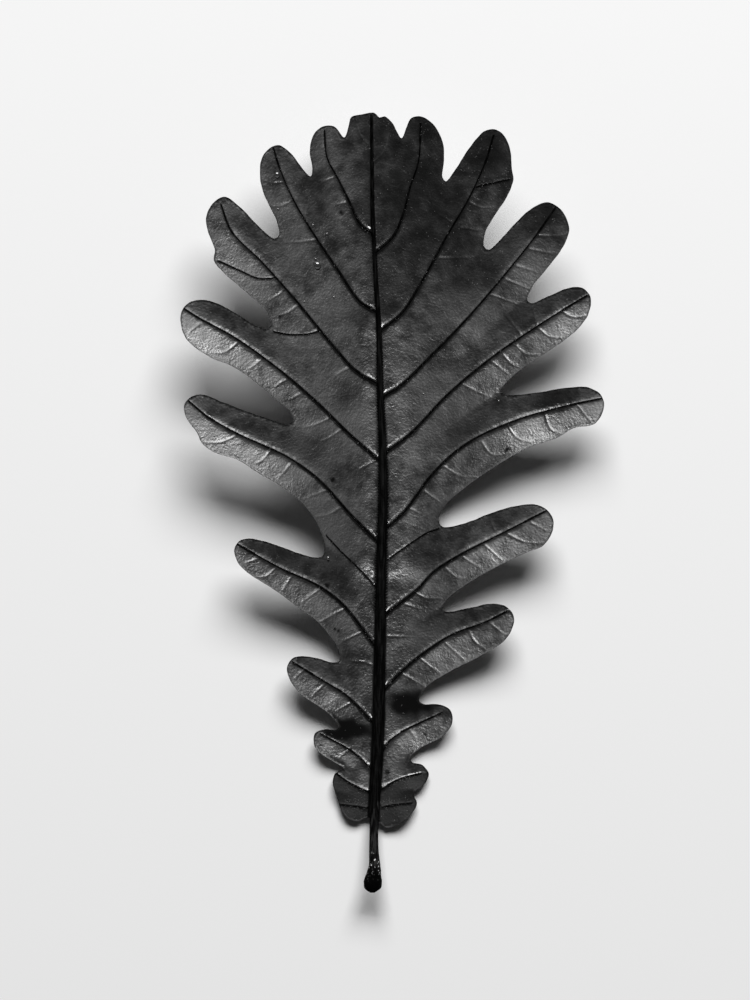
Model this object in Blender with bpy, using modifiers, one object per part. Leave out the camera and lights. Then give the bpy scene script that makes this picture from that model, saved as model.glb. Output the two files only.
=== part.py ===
"""Oak leaf, fallen and dried into a shallow cradle, lying with its veined underside up.

It is one grown piece: the lobed blade, the midrib, the side veins, the raised net and the stalk.
Standalone Blender script. Its tables are in millimetres: X across the leaf, Y towards its tip, both
from the middle of the leaf's box. The model is in metres, +Z up, and rests on z = 0.
"""

import bmesh
import bpy
import numpy as np
from mathutils.geometry import delaunay_2d_cdt

METRES_PER_MM = 0.001
WELD = 1e-6

# Driving dimensions, in millimetres. The tables below are drawn for a leaf of TABLE_LENGTH.
LEAF_LENGTH = 150.0
TABLE_LENGTH = 150.0
BLADE_THICKNESS = 0.6

# Half width of the midrib at places along Y, and of a side vein at its root and its tip.
# A rib stands out of the blade by RIB_PROUD times its half width.
RIB_PROUD = 1.35
MIDRIB_PLACES = [-61.0, -42.0, 0.0, 23.0, 50.0, 75.0]
MIDRIB_HALF_WIDTHS = [0.9, 1.1, 0.85, 0.6, 0.42, 0.34]
SIDE_VEIN_HALF_WIDTHS = [0.52, 0.34]
SMALL_VEIN_HALF_WIDTHS = [0.4, 0.3]
NET_HALF_WIDTH = 0.35
NET_HEIGHT = 0.25

# The cradle. Each side rises from the midrib: how high, from where along Y to where it is full,
# how far out it levels off, and how round its foot is. Then the tip and the base rise too.
RISE_AT_BASE = 4.0
RISE_FROM = -65.0
LEFT_RISE = 13.0
LEFT_FULL = 5.0
LEFT_REACH = 14.0
LEFT_ROUNDING = 5.0
RIGHT_RISE = 10.5
RIGHT_FULL = -15.0
RIGHT_REACH = 20.0
RIGHT_ROUNDING = 9.0
TIP_START = 31.0
TIP_LIFT = 0.0036
TIP_TWIST = 0.5
TIP_TWIST_REACH = 8.0
BASE_START = -19.0
BASE_LIFT = 0.0005

# The leaf rests where it is pressed flat by REST_DEPTH, between these places along Y. Past each end
# of that stretch it rises by END_RISE within REST_ENDS, so that it stands firm on the corners. This
# rise is only near the midrib and fades out within about END_REACH.
REST_DEPTH = 0.5
REST_SOFTNESS = 0.3
REST_FROM = -10.0
REST_TO = 33.0
REST_ENDS = 6.0
END_RISE = 1.0
END_REACH = 7.0

# Each lobe is a gutter along its own vein. It starts on the way out to where the bays reach in, which
# is this far from the midrib at these places along Y, and is full just past them.
BAY_PLACES = [-51.0, -40.0, -9.0, 18.0, 36.0, 50.0, 62.0, 70.0]
BAY_DISTANCES = [6.0, 7.5, 11.0, 19.0, 24.0, 19.5, 12.5, 5.5]
GUTTER_SLOPE = 0.32
GUTTER_ROUNDING = 1.5
GUTTER_REACH = 8.0
GUTTER_STARTS = 0.45
GUTTER_FULL = 1.1

# The same ground is a little wavy
WAVE_HEIGHT = 0.22
WAVE_LENGTH = 19.0
WAVE_RUNS = (0.8, 0.6)

# Spacing of the mesh: along each kind of line, between the lines, and off the outline
OUTLINE_STEP = 1.4
RIB_STEP = 2.5
NET_STEP = 2.0
FILL_STEP = 2.6
LINE_GAP = 0.3
NET_GAP = 0.6
FILL_GAP = 1.3
OUTLINE_GAP = 0.75
STALK_STEP = 1.4
STALK_BEVEL_RESOLUTION = 4

# A rib is drawn as rows of points at these shares of its half width
MIDRIB_ROWS = (0.0, -0.6, 0.6, -1.0, 1.0)
VEIN_ROWS = (0.0, -1.0, 1.0)
NET_ROWS = (0.0,)

# Finish
LEAF_COLOUR = (0.045, 0.045, 0.045, 1.0)
LEAF_ROUGHNESS = 0.5

# The outline, lobe by lobe, up the left side from the stalk and down the right side
OUTLINE = {
    "left_1": [
        (-3.6, -60.8), (-5.0, -60.5), (-6.7, -61.2), (-8.5, -60.7), (-9.9, -59.1), (-10.5, -57.3)],
    "left_2": [
        (-11.2, -55.2), (-11.5, -53.7), (-11.1, -52.0), (-9.3, -51.1)],
    "left_3": [
        (-11.5, -49.7), (-13.9, -48.1), (-15.1, -46.4), (-14.9, -44.3), (-13.0, -43.5), (-11.0, -43.6),
        (-10.3, -43.1)],
    "left_4": [
        (-11.8, -41.0), (-14.3, -39.0), (-17.8, -36.6), (-19.8, -33.8), (-20.3, -31.6), (-19.3, -29.9),
        (-17.2, -29.4), (-14.2, -29.9), (-11.8, -30.6), (-10.2, -30.4)],
    "left_5": [
        (-10.3, -28.5), (-11.7, -26.0), (-14.7, -22.6), (-18.4, -19.8), (-23.2, -16.3), (-27.5, -13.6),
        (-29.7, -11.4), (-30.4, -8.9), (-29.4, -7.3), (-27.4, -6.8), (-23.4, -7.7), (-18.6, -9.4),
        (-15.3, -10.4), (-13.5, -10.2)],
    "left_6": [
        (-13.1, -7.9), (-14.6, -3.8), (-17.8, 0.5), (-21.5, 3.3), (-26.3, 6.1), (-29.7, 8.3),
        (-34.5, 9.9), (-36.8, 11.8), (-37.5, 13.5), (-39.6, 16.5), (-40.0, 18.8), (-38.7, 20.4),
        (-36.3, 20.8), (-33.4, 19.7), (-28.0, 17.6), (-22.8, 15.8), (-20.2, 15.0), (-19.0, 15.8)],
    "left_7": [
        (-19.6, 17.5), (-23.0, 20.4), (-26.7, 23.6), (-30.9, 26.3), (-35.2, 28.1), (-39.3, 31.2),
        (-40.5, 33.8), (-40.6, 36.4), (-39.3, 38.3), (-37.1, 39.0), (-34.4, 38.6), (-30.5, 36.7),
        (-26.7, 34.3), (-24.3, 33.4), (-23.3, 34.1)],
    "left_8": [
        (-23.9, 36.5), (-27.3, 39.8), (-32.4, 44.2), (-34.3, 46.6), (-34.1, 48.5), (-35.4, 52.1),
        (-35.8, 54.7), (-34.5, 57.5), (-32.2, 58.8), (-29.7, 57.2), (-24.9, 52.4), (-22.6, 50.8),
        (-21.8, 51.5)],
    "left_9": [
        (-22.3, 54.3), (-24.4, 58.6), (-25.4, 62.2), (-25.1, 66.1), (-23.5, 68.2), (-21.7, 68.7),
        (-19.5, 67.1), (-17.0, 63.9), (-15.7, 62.8)],
    "left_10": [
        (-15.4, 64.2), (-15.9, 67.6), (-15.2, 70.7), (-13.4, 72.4), (-11.2, 72.4), (-9.3, 70.3)],
    "tip": [
        (-8.5, 72.3), (-7.9, 74.2), (-6.1, 74.7), (-3.6, 75.0), (-2.5, 74.1), (-1.5, 74.3),
        (-0.1, 73.1), (1.7, 70.1)],
    "right_10": [
        (2.6, 72.0), (3.6, 73.9), (5.5, 74.2), (7.8, 72.7), (9.5, 69.6), (9.9, 66.1), (9.6, 62.6),
        (10.2, 61.8)],
    "right_9": [
        (12.1, 64.1), (14.9, 68.4), (17.6, 71.3), (19.5, 71.7), (21.3, 70.6), (22.6, 67.6),
        (22.9, 64.0), (23.2, 62.1), (22.0, 58.9), (19.4, 54.9), (17.7, 51.7), (17.6, 49.2),
        (18.5, 48.7)],
    "right_8": [
        (20.9, 50.8), (24.4, 54.6), (27.4, 57.0), (30.0, 57.7), (32.5, 56.1), (33.9, 52.7),
        (32.8, 49.3), (29.6, 45.0), (26.8, 41.5), (25.9, 39.0), (26.6, 38.4)],
    "right_7": [
        (29.8, 39.7), (33.8, 41.3), (36.4, 41.4), (38.0, 39.6), (37.6, 36.3), (35.1, 33.0),
        (30.1, 29.3), (25.5, 26.3), (21.8, 23.1), (20.7, 21.4)],
    "right_6": [
        (22.2, 20.8), (27.4, 21.2), (33.8, 22.2), (37.7, 22.2), (40.1, 20.7), (40.6, 18.4),
        (38.9, 15.3), (34.8, 14.4), (31.5, 12.5), (26.1, 10.7), (20.3, 7.4), (14.5, 3.4), (10.3, -0.2),
        (8.9, -3.0), (9.6, -4.5)],
    "right_5": [
        (13.4, -4.0), (19.5, -1.7), (24.4, -0.4), (28.1, -0.4), (30.4, -2.1), (30.9, -4.6),
        (29.0, -8.1), (25.7, -9.5), (19.5, -12.5), (14.2, -15.6), (10.5, -18.5), (9.4, -20.3),
        (10.4, -20.9)],
    "right_4": [
        (14.9, -20.1), (19.5, -19.3), (22.3, -20.2), (23.4, -22.4), (21.8, -26.1), (17.2, -29.2),
        (10.7, -32.6), (6.5, -35.4), (5.1, -38.0), (6.0, -38.7)],
    "right_3": [
        (8.8, -38.7), (11.1, -39.8), (11.5, -42.2), (9.7, -44.8), (5.3, -47.2), (3.5, -48.8),
        (3.7, -49.8)],
    "right_2": [
        (5.7, -50.4), (7.0, -52.2), (5.9, -54.4), (4.0, -55.8)],
    "right_1": [
        (4.7, -57.7), (3.8, -59.7), (1.0, -61.9), (-1.3, -62.4), (-2.5, -61.5)],
}

# The midrib, from the stalk to the tip
MIDRIB = [
    (-3.6, -60.8), (-3.5, -57.2), (-3.0, -49.5), (-2.7, -41.8), (-2.4, -26.4), (-2.1, -9.0),
    (-1.8, 0.6), (-1.9, 10.2), (-2.4, 22.8), (-2.6, 33.3), (-3.1, 41.1), (-3.5, 48.8), (-3.8, 54.5),
    (-3.9, 62.2), (-4.0, 69.9), (-4.0, 74.2)]

# The main vein of each lobe, from the midrib to the lobe's tip
SIDE_VEINS = {
    "left_1": [(-4.5, -58.7), (-7.3, -58.3), (-9.8, -58.0)],
    "left_2": [(-4.5, -55.6), (-8.3, -53.8), (-10.9, -51.9)],
    "left_3": [(-4.1, -51.2), (-6.0, -49.2), (-8.3, -47.4), (-13.7, -44.4)],
    "left_4": [(-3.9, -42.0), (-6.6, -39.1), (-9.2, -36.7), (-13.1, -34.3), (-19.1, -30.6)],
    "left_5": [
        (-3.4, -27.3), (-6.0, -23.8), (-9.5, -19.5), (-13.8, -16.1), (-21.7, -12.4), (-29.7, -7.9)],
    "left_6": [
        (-2.4, -7.7), (-7.9, -2.3), (-14.1, 4.5), (-20.2, 8.9), (-29.4, 13.2), (-35.6, 16.7),
        (-39.0, 19.5)],
    "left_7": [
        (-2.2, 8.1), (-7.9, 13.0), (-15.0, 19.9), (-22.3, 26.1), (-30.9, 32.2), (-37.1, 35.5),
        (-39.8, 37.2)],
    "left_8": [
        (-2.4, 22.9), (-7.1, 25.6), (-11.4, 30.3), (-18.5, 38.9), (-25.1, 46.3), (-30.9, 52.2),
        (-32.9, 57.2)],
    "left_9": [
        (-3.2, 37.0), (-6.3, 38.9), (-10.5, 44.9), (-15.7, 52.6), (-18.9, 58.0), (-21.7, 64.4),
        (-22.8, 68.0)],
    "left_10": [
        (-3.8, 52.0), (-6.3, 53.9), (-8.2, 57.8), (-10.5, 62.4), (-12.6, 66.5), (-13.1, 71.5)],
    "tip": [(-3.9, 65.0), (-4.0, 74.2)],
    "right_10": [(-3.2, 48.4), (0.2, 51.5), (2.1, 55.8), (3.3, 60.5), (5.0, 65.7), (5.4, 72.8)],
    "right_9": [
        (-2.4, 33.3), (1.9, 36.8), (5.7, 42.8), (10.4, 51.3), (14.7, 58.6), (17.9, 65.7), (19.3, 70.3)],
    "right_8": [
        (-2.0, 20.6), (1.4, 22.6), (7.9, 28.9), (14.3, 35.5), (21.3, 43.6), (27.6, 51.5), (31.3, 56.8)],
    "right_7": [
        (-1.4, 9.9), (3.4, 13.4), (11.0, 21.3), (19.6, 28.4), (27.8, 34.0), (33.8, 37.8), (37.7, 40.1)],
    "right_6": [
        (-1.3, -4.8), (2.4, -1.4), (8.0, 6.0), (14.1, 11.4), (23.3, 15.8), (32.5, 18.5), (40.0, 20.1)],
    "right_5": [(-1.4, -21.3), (4.9, -16.4), (8.0, -13.1), (12.6, -10.1), (21.8, -5.4), (29.4, -1.5)],
    "right_4": [(-1.4, -35.6), (2.0, -32.1), (5.2, -29.4), (11.2, -25.4), (17.9, -22.8), (22.5, -20.5)],
    "right_3": [(-2.0, -47.9), (-0.6, -45.8), (2.0, -43.9), (5.2, -42.3), (9.3, -40.4)],
    "right_2": [(-2.6, -55.4), (-0.6, -54.1), (1.6, -53.0), (5.3, -52.0)],
    "right_1": [(-2.6, -58.6), (0.0, -58.1), (3.4, -57.7)],
}

# Smaller veins that fork off towards a lobe's second point or a bay between two lobes
SMALL_VEINS = [
    [(-22.6, 43.2), (-25.9, 43.2), (-29.2, 44.6), (-33.4, 46.5)],
    [(-14.0, 33.2), (-15.9, 32.6), (-19.7, 32.4), (-22.6, 32.9)],
    [(15.8, 60.7), (19.0, 61.4), (22.4, 62.1)],
    [(-3.2, -16.1), (-6.7, -12.4), (-9.8, -9.4), (-12.7, -6.3)],
    [(-1.3, -11.1), (3.4, -7.8), (6.7, -5.7), (8.8, -4.9)],
]

# The raised net: the ties between the side veins and towards the margin
NET = [
    [(-4.1, 68.4), (-5.8, 70.3), (-7.0, 72.8)],
    [(-3.6, 65.7), (-1.6, 67.8), (-0.7, 71.1)],
    [(-3.6, -31.2), (-5.4, -30.6), (-8.2, -30.3)],
    [(-1.3, -25.6), (2.9, -25.7)],
    [(-20.7, 41.2), (-22.1, 39.9), (-23.6, 39.1)],
    [(-18.0, 38.2), (-19.9, 36.8), (-21.7, 36.0)],
    [(-14.5, 50.7), (-17.8, 50.2), (-20.7, 50.1)],
    [(-20.7, 61.7), (-23.2, 61.5), (-24.6, 62.0)],
    [(-19.2, 58.2), (-21.1, 57.2), (-23.0, 57.0)],
    [(-10.9, 62.8), (-13.6, 61.9), (-14.9, 62.2)],
    [(-9.1, 57.8), (-11.1, 57.4)],
    [(-29.6, 31.0), (-32.3, 28.9), (-34.8, 28.9)],
    [(-24.9, 27.8), (-27.4, 25.8)],
    [(-20.1, 23.9), (-22.4, 22.6)],
    [(-17.8, 21.0), (-19.7, 19.9)],
    [(-37.1, 34.3), (-39.0, 32.8)],
    [(-8.2, 26.2), (-11.1, 24.5)],
    [(-12.4, 16.2), (-14.9, 15.1), (-17.2, 14.5)],
    [(-9.7, 14.3), (-11.7, 12.9), (-13.8, 11.8)],
    [(-29.8, 13.1), (-33.0, 11.7), (-36.5, 11.7)],
    [(-23.6, 10.0), (-24.7, 8.5), (-26.3, 7.5)],
    [(-19.4, 7.7), (-21.9, 4.8)],
    [(-12.8, 2.5), (-17.0, 0.8)],
    [(-9.5, -0.5), (-12.0, -2.0), (-14.7, -2.7)],
    [(-3.2, 8.3), (-6.3, 6.6)],
    [(-26.1, -10.8), (-28.4, -11.5)],
    [(-22.6, -12.6), (-24.4, -14.1), (-25.9, -14.2)],
    [(-19.5, -14.2), (-21.1, -16.7)],
    [(-14.0, -16.5), (-17.4, -19.0)],
    [(-9.1, -20.2), (-13.8, -22.7)],
    [(-5.7, -24.7), (-9.5, -26.5)],
    [(-17.2, -32.1), (-18.6, -33.5)],
    [(-13.2, -34.9), (-15.3, -36.9)],
    [(-8.2, -38.5), (-10.9, -40.0)],
    [(-8.2, -47.2), (-10.1, -48.9)],
    [(14.5, 58.0), (16.9, 56.8), (19.7, 56.8)],
    [(13.2, 53.0), (16.9, 52.4)],
    [(9.1, 47.2), (12.4, 47.2), (16.5, 47.4)],
    [(11.7, 53.8), (9.1, 55.5)],
    [(27.8, 51.5), (30.3, 51.3), (33.4, 51.6)],
    [(25.9, 48.9), (28.4, 48.4), (30.9, 48.0)],
    [(23.4, 45.7), (27.4, 44.5)],
    [(21.3, 43.2), (26.1, 41.2)],
    [(19.0, 40.1), (24.2, 38.2)],
    [(32.6, 36.8), (35.0, 35.7), (37.1, 36.0)],
    [(28.0, 33.7), (30.1, 32.0), (32.8, 31.8)],
    [(23.8, 30.3), (25.5, 28.7), (27.8, 28.5)],
    [(21.1, 28.9), (22.6, 27.0), (24.2, 26.2)],
    [(19.0, 27.4), (22.1, 24.9)],
    [(13.6, 22.9), (15.9, 21.6), (18.8, 20.4)],
    [(27.8, 34.5), (26.9, 37.6)],
    [(24.6, 32.6), (22.2, 35.7)],
    [(35.5, 18.9), (37.8, 16.0)],
    [(29.2, 17.4), (30.5, 14.1), (32.3, 13.4)],
    [(22.2, 14.9), (24.0, 12.5), (26.5, 11.7)],
    [(17.2, 11.8), (19.0, 9.4), (21.5, 9.4)],
    [(9.7, 7.2), (13.2, 5.2), (16.3, 5.0)],
    [(5.9, 2.5), (9.1, 0.2)],
    [(3.0, -0.9), (4.9, -1.8)],
    [(26.7, -3.8), (29.4, -5.2)],
    [(22.1, -5.9), (25.3, -7.4), (28.8, -7.7)],
    [(17.8, -8.1), (20.9, -10.9)],
    [(19.7, -5.2), (18.8, -3.1)],
    [(13.2, -10.2), (16.9, -12.5)],
    [(10.3, -12.5), (12.4, -14.3), (14.0, -14.5)],
    [(4.3, -17.1), (6.3, -18.2), (9.1, -18.3)],
    [(2.4, -19.4), (5.1, -20.3)],
    [(18.4, -22.7), (21.5, -25.3)],
    [(14.7, -24.4), (15.9, -26.7), (17.8, -28.0)],
    [(9.9, -26.6), (13.8, -30.2)],
    [(5.5, -30.0), (8.8, -32.6)],
    [(2.0, -32.9), (6.1, -35.2)],
    [(3.0, -43.2), (4.5, -45.2)],
]

# The stalk, from inside the midrib to its thick foot: x, y, height of its axis, radius
STALK = [
    (-3.3, -53.7, 1.75, 0.55),
    (-3.4, -57.2, 2.05, 0.82),
    (-3.5, -60.1, 2.4, 0.88),
    (-3.6, -63.0, 2.8, 0.83),
    (-3.6, -66.8, 3.5, 0.92),
    (-3.5, -69.9, 4.2, 1.2),
    (-3.8, -72.8, 4.8, 1.72),
    (-3.9, -74.3, 5.1, 1.35),
    (-3.9, -74.93, 5.2, 0.5),
]


def smooth(low, high, value):
    """A step from 0 at low to 1 at high, with soft ends."""
    share = np.clip((value - low) / (high - low), 0.0, 1.0)
    return share * share * (3.0 - 2.0 * share)


def span_point(before, start, end, after, share):
    """A point of the centripetal curve from start to end, at this share of the span."""
    first = np.linalg.norm(start - before) ** 0.5
    second = first + np.linalg.norm(end - start) ** 0.5
    third = second + np.linalg.norm(after - end) ** 0.5
    now = first + (second - first) * share
    lead = (before * (first - now) + start * now) / first
    middle = (start * (second - now) + end * (now - first)) / (second - first)
    trail = (end * (third - now) + after * (now - second)) / (third - second)
    low = (lead * (second - now) + middle * now) / second
    high = (middle * (third - now) + trail * (now - first)) / (third - first)
    return (low * (second - now) + high * (now - first)) / (second - first)


def through(points, step, closed=False):
    """Places about one step apart along a smooth curve through the given points."""
    knots = [np.array(point, float) for point in points]
    if closed:
        chain = [knots[-1]] + knots + knots[:2]
    else:
        chain = [2 * knots[0] - knots[1]] + knots + [2 * knots[-1] - knots[-2]]
    places = []
    for before, start, end, after in zip(chain, chain[1:], chain[2:], chain[3:]):
        count = max(1, round(np.linalg.norm((end - start)[:2]) / step))
        places += [span_point(before, start, end, after, k / count) for k in range(count)]
    if not closed:
        places.append(knots[-1])
    return np.array(places)


def nearest(places, line):
    """Distance from each place to a line, and how far along the line that is, from 0 to 1."""
    lengths = np.linalg.norm(np.diff(line, axis=0), axis=1)
    reached = np.concatenate([[0.0], np.cumsum(lengths)])
    best = np.full(len(places), np.inf)
    share = np.zeros(len(places))
    for start, end, length, done in zip(line, line[1:], lengths, reached):
        along = np.clip((places - start) @ (end - start) / length ** 2, 0.0, 1.0)
        gap = np.linalg.norm(places - start - along[:, None] * (end - start), axis=1)
        closer = gap < best
        best = np.where(closer, gap, best)
        share = np.where(closer, (done + along * length) / reached[-1], share)
    return best, share


def inside(places, ring):
    """True for each place within a closed ring of points."""
    crossed = np.zeros(len(places), bool)
    x, y = places[:, 0], places[:, 1]
    for (x1, y1), (x2, y2) in zip(ring, np.roll(ring, -1, axis=0)):
        if y1 != y2:
            over = (y1 > y) != (y2 > y)
            crossed ^= over & (x < x1 + (y - y1) * (x2 - x1) / (y2 - y1))
    return crossed


def midrib_x(y):
    """Where the midrib lies across the leaf."""
    return np.interp(y, [point[1] for point in MIDRIB], [point[0] for point in MIDRIB])


def side_height(across, y, rise, full, reach, rounding):
    """How high one side of the cradle is: steep by the midrib, then levelling out."""
    top = RISE_AT_BASE + (rise - RISE_AT_BASE) * smooth(RISE_FROM, full, y)
    return top * (1.0 - np.exp((rounding - np.hypot(across, rounding)) / reach))


def blade_height(places, vein_lines):
    """Height of the blade's lower face."""
    x, y = places[:, 0], places[:, 1]
    across = x - midrib_x(y)
    left = side_height(across, y, LEFT_RISE, LEFT_FULL, LEFT_REACH, LEFT_ROUNDING)
    right = side_height(across, y, RIGHT_RISE, RIGHT_FULL, RIGHT_REACH, RIGHT_ROUNDING)
    sides = np.where(across < 0, left, right)
    twist = 1.0 + TIP_TWIST * np.tanh(across / TIP_TWIST_REACH)
    tip = TIP_LIFT * np.maximum(0.0, y - TIP_START) ** 2 * twist
    base = BASE_LIFT * np.maximum(0.0, BASE_START - y) ** 2
    ends = smooth(REST_FROM, REST_FROM - REST_ENDS, y) + smooth(REST_TO, REST_TO + REST_ENDS, y)
    ends *= np.exp(-(across / END_REACH) ** 2)
    outward = smooth(GUTTER_STARTS, GUTTER_FULL, abs(across) / np.interp(y, BAY_PLACES, BAY_DISTANCES))
    to_vein = np.full(len(places), GUTTER_REACH)
    for line in vein_lines:
        to_vein = np.minimum(to_vein, nearest(places, line)[0])
    gutter = GUTTER_SLOPE * (np.hypot(to_vein, GUTTER_ROUNDING) - GUTTER_ROUNDING) * outward
    wave = WAVE_HEIGHT * np.sin(2 * np.pi * (places @ np.array(WAVE_RUNS)) / WAVE_LENGTH) * outward
    free = np.maximum(0.0, sides + tip + base + END_RISE * ends + gutter + wave - REST_DEPTH)
    return free ** 2 / (free + REST_SOFTNESS)


def half_width(kind, line, share):
    """Half width of a rib at a share of its length."""
    if kind == "midrib":
        return np.interp(np.interp(share, np.linspace(0, 1, len(line)), line[:, 1]),
                         MIDRIB_PLACES, MIDRIB_HALF_WIDTHS)
    if kind == "net":
        return np.full(np.shape(share), NET_HALF_WIDTH)
    root, tip = SIDE_VEIN_HALF_WIDTHS if kind == "side" else SMALL_VEIN_HALF_WIDTHS
    return root + (tip - root) * share


def relief(places, ribs):
    """How far the ribs and the net stand out of the blade's upper face."""
    highest = np.zeros(len(places))
    for kind, line in ribs:
        gap, share = nearest(places, line)
        half = half_width(kind, line, share)
        proud = NET_HEIGHT if kind == "net" else RIB_PROUD * half
        highest = np.maximum(highest, proud * np.clip(1.0 - (gap / half) ** 2, 0.0, 1.0))
    return highest


def beside(line, offsets):
    """The line moved sideways by an offset at each of its points."""
    run = np.gradient(line, axis=0)
    run /= np.linalg.norm(run, axis=1)[:, None]
    return line + np.stack([-run[:, 1], run[:, 0]], axis=1) * np.asarray(offsets)[:, None]


class Drawing:
    """Points and edges that the blade is divided by, each point clear of those before it."""

    def __init__(self, outline):
        count = len(outline)
        self.outline = outline
        self.points = [tuple(point) for point in outline]
        self.edges = [(k, (k + 1) % count) for k in range(count)]

    def usable(self, line, gap):
        """True for each point of a line that is on the blade and clear of what is drawn."""
        ring = np.vstack([self.outline, self.outline[:1]])
        fits = inside(line, self.outline) & (nearest(line, ring)[0] > OUTLINE_GAP)
        drawn = np.array(self.points)
        for k in np.nonzero(fits)[0]:
            fits[k] = np.min(np.linalg.norm(drawn - line[k], axis=1)) > gap
        return fits

    def add_line(self, line, gap):
        """Adds a line's usable points, joined where neighbours are both usable."""
        previous = None
        for point, fits in zip(line, self.usable(line, gap)):
            if not fits:
                previous = None
                continue
            self.points.append(tuple(point))
            if previous is not None:
                self.edges.append((previous, len(self.points) - 1))
            previous = len(self.points) - 1

    def fill(self, step, gap):
        """Adds evenly spaced points where nothing is drawn."""
        low, high = self.outline.min(axis=0), self.outline.max(axis=0)
        for row, y in enumerate(np.arange(low[1], high[1], step * 0.866)):
            shift = 0.5 * step * (row % 2)
            line = np.array([(x + shift, y) for x in np.arange(low[0], high[0], step)])
            fits = self.usable(line, gap)
            self.points += [tuple(point) for point in line[fits]]

    def triangles(self):
        """The blade's points and triangles in the plane."""
        ring = list(range(len(self.outline)))
        found = delaunay_2d_cdt(self.points, self.edges, [ring], 1, 1e-5)
        return np.array([tuple(point) for point in found[0]]), [tuple(face) for face in found[2]]


def rib_lines():
    """Every rib as its kind and its smooth centre line."""
    ribs = [("midrib", through(MIDRIB, RIB_STEP))]
    ribs += [("side", through(points, RIB_STEP)) for name, points in SIDE_VEINS.items() if name != "tip"]
    ribs += [("small", through(points, RIB_STEP)) for points in SMALL_VEINS]
    ribs += [("net", through(points, NET_STEP)) for points in NET]
    return ribs


def draw_blade(outline, ribs):
    """Divides the blade along its ribs, then evenly between them."""
    rows = {"midrib": MIDRIB_ROWS, "side": VEIN_ROWS, "small": VEIN_ROWS, "net": NET_ROWS}
    drawing = Drawing(outline)
    for kind, line in ribs:
        half = half_width(kind, line, np.linspace(0, 1, len(line)))
        gap = NET_GAP if kind == "net" else LINE_GAP
        for share in rows[kind]:
            drawing.add_line(beside(line, share * half), gap)
    drawing.fill(FILL_STEP, FILL_GAP)
    return drawing.triangles()


def named_material():
    """The leaf's one dry, dark, faintly glossy finish."""
    material = bpy.data.materials.new("leaf")
    material.use_nodes = True
    shader = material.node_tree.nodes["Principled BSDF"]
    shader.inputs["Base Color"].default_value = LEAF_COLOUR
    shader.inputs["Roughness"].default_value = LEAF_ROUGHNESS
    shader.inputs["Metallic"].default_value = 0.0
    return material


def blade_object(name, unit, collection):
    """The blade: an open sheet with its height, made solid, thicker along its ribs."""
    outline = through([point for lobe in OUTLINE.values() for point in lobe], OUTLINE_STEP, closed=True)
    ribs = rib_lines()
    places, faces = draw_blade(outline, ribs)
    veins = [through(points, RIB_STEP) for points in SIDE_VEINS.values()]
    heights = blade_height(places, veins)
    proud = relief(places, ribs)
    mesh = bpy.data.meshes.new(name)
    sheet = np.column_stack([places, heights]) * unit
    mesh.from_pydata([tuple(point) for point in sheet], [], faces)
    mesh.shade_smooth()
    leaf = bpy.data.objects.new(name, mesh)
    collection.objects.link(leaf)
    tallest = float(proud.max())
    group = leaf.vertex_groups.new(name="ribs")
    for index, height in enumerate(proud):
        group.add([index], float(height) / tallest, "REPLACE")
    solid = leaf.modifiers.new("thickness", "SOLIDIFY")
    solid.thickness = (BLADE_THICKNESS + tallest) * unit
    solid.offset = 1.0
    solid.vertex_group = group.name
    solid.thickness_vertex_group = BLADE_THICKNESS / (BLADE_THICKNESS + tallest)
    return leaf


def stalk_object(unit, collection):
    """The stalk as a closed tube that swells to its foot, for joining to the blade."""
    rows = through(STALK, STALK_STEP)
    curve = bpy.data.curves.new("stalk_curve", "CURVE")
    curve.dimensions = "3D"
    curve.bevel_depth = unit
    curve.bevel_resolution = STALK_BEVEL_RESOLUTION
    curve.use_fill_caps = True
    spline = curve.splines.new("POLY")
    spline.points.add(len(rows) - 1)
    for point, (x, y, z, radius) in zip(spline.points, rows):
        point.co = (x * unit, y * unit, z * unit, 1.0)
        point.radius = radius
    drawn = bpy.data.objects.new("stalk_curve", curve)
    collection.objects.link(drawn)
    bpy.context.view_layer.update()
    mesh = bpy.data.meshes.new_from_object(drawn.evaluated_get(bpy.context.evaluated_depsgraph_get()))
    welded = bmesh.new()
    welded.from_mesh(mesh)
    bmesh.ops.remove_doubles(welded, verts=welded.verts, dist=WELD)
    bmesh.ops.recalc_face_normals(welded, faces=welded.faces)
    welded.to_mesh(mesh)
    welded.free()
    mesh.shade_smooth()
    stalk = bpy.data.objects.new("stalk_guide", mesh)
    stalk.matrix_world = drawn.matrix_world
    collection.objects.link(stalk)
    bpy.data.objects.remove(drawn)
    stalk.hide_render = True
    stalk.display_type = "WIRE"
    return stalk


def new_collection(name):
    """A collection in the scene."""
    collection = bpy.data.collections.new(name)
    bpy.context.scene.collection.children.link(collection)
    return collection


def main():
    """Clears the scene and makes the leaf."""
    for old in list(bpy.data.objects):
        bpy.data.objects.remove(old)
    unit = METRES_PER_MM * LEAF_LENGTH / TABLE_LENGTH
    leaf = blade_object("oak_leaf", unit, new_collection("oak_leaf"))
    stalk = stalk_object(unit, new_collection("guides"))
    leaf.data.materials.append(named_material())
    join = leaf.modifiers.new("stalk", "BOOLEAN")
    join.operation = "UNION"
    join.solver = "EXACT"
    join.object = stalk


main()
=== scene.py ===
"""Dresses the oak leaf: a fine blade with its veins, net and stalk, hairs and drops, seen from above.

The tables are in millimetres in the frame's axes: X across the leaf, Y towards its tip.
Light comes from the tip's side, low and wide, as from a window.
"""

import math
import random

import bpy
import numpy as np
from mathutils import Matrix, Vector, kdtree, noise
from mathutils.geometry import delaunay_2d_cdt

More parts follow.
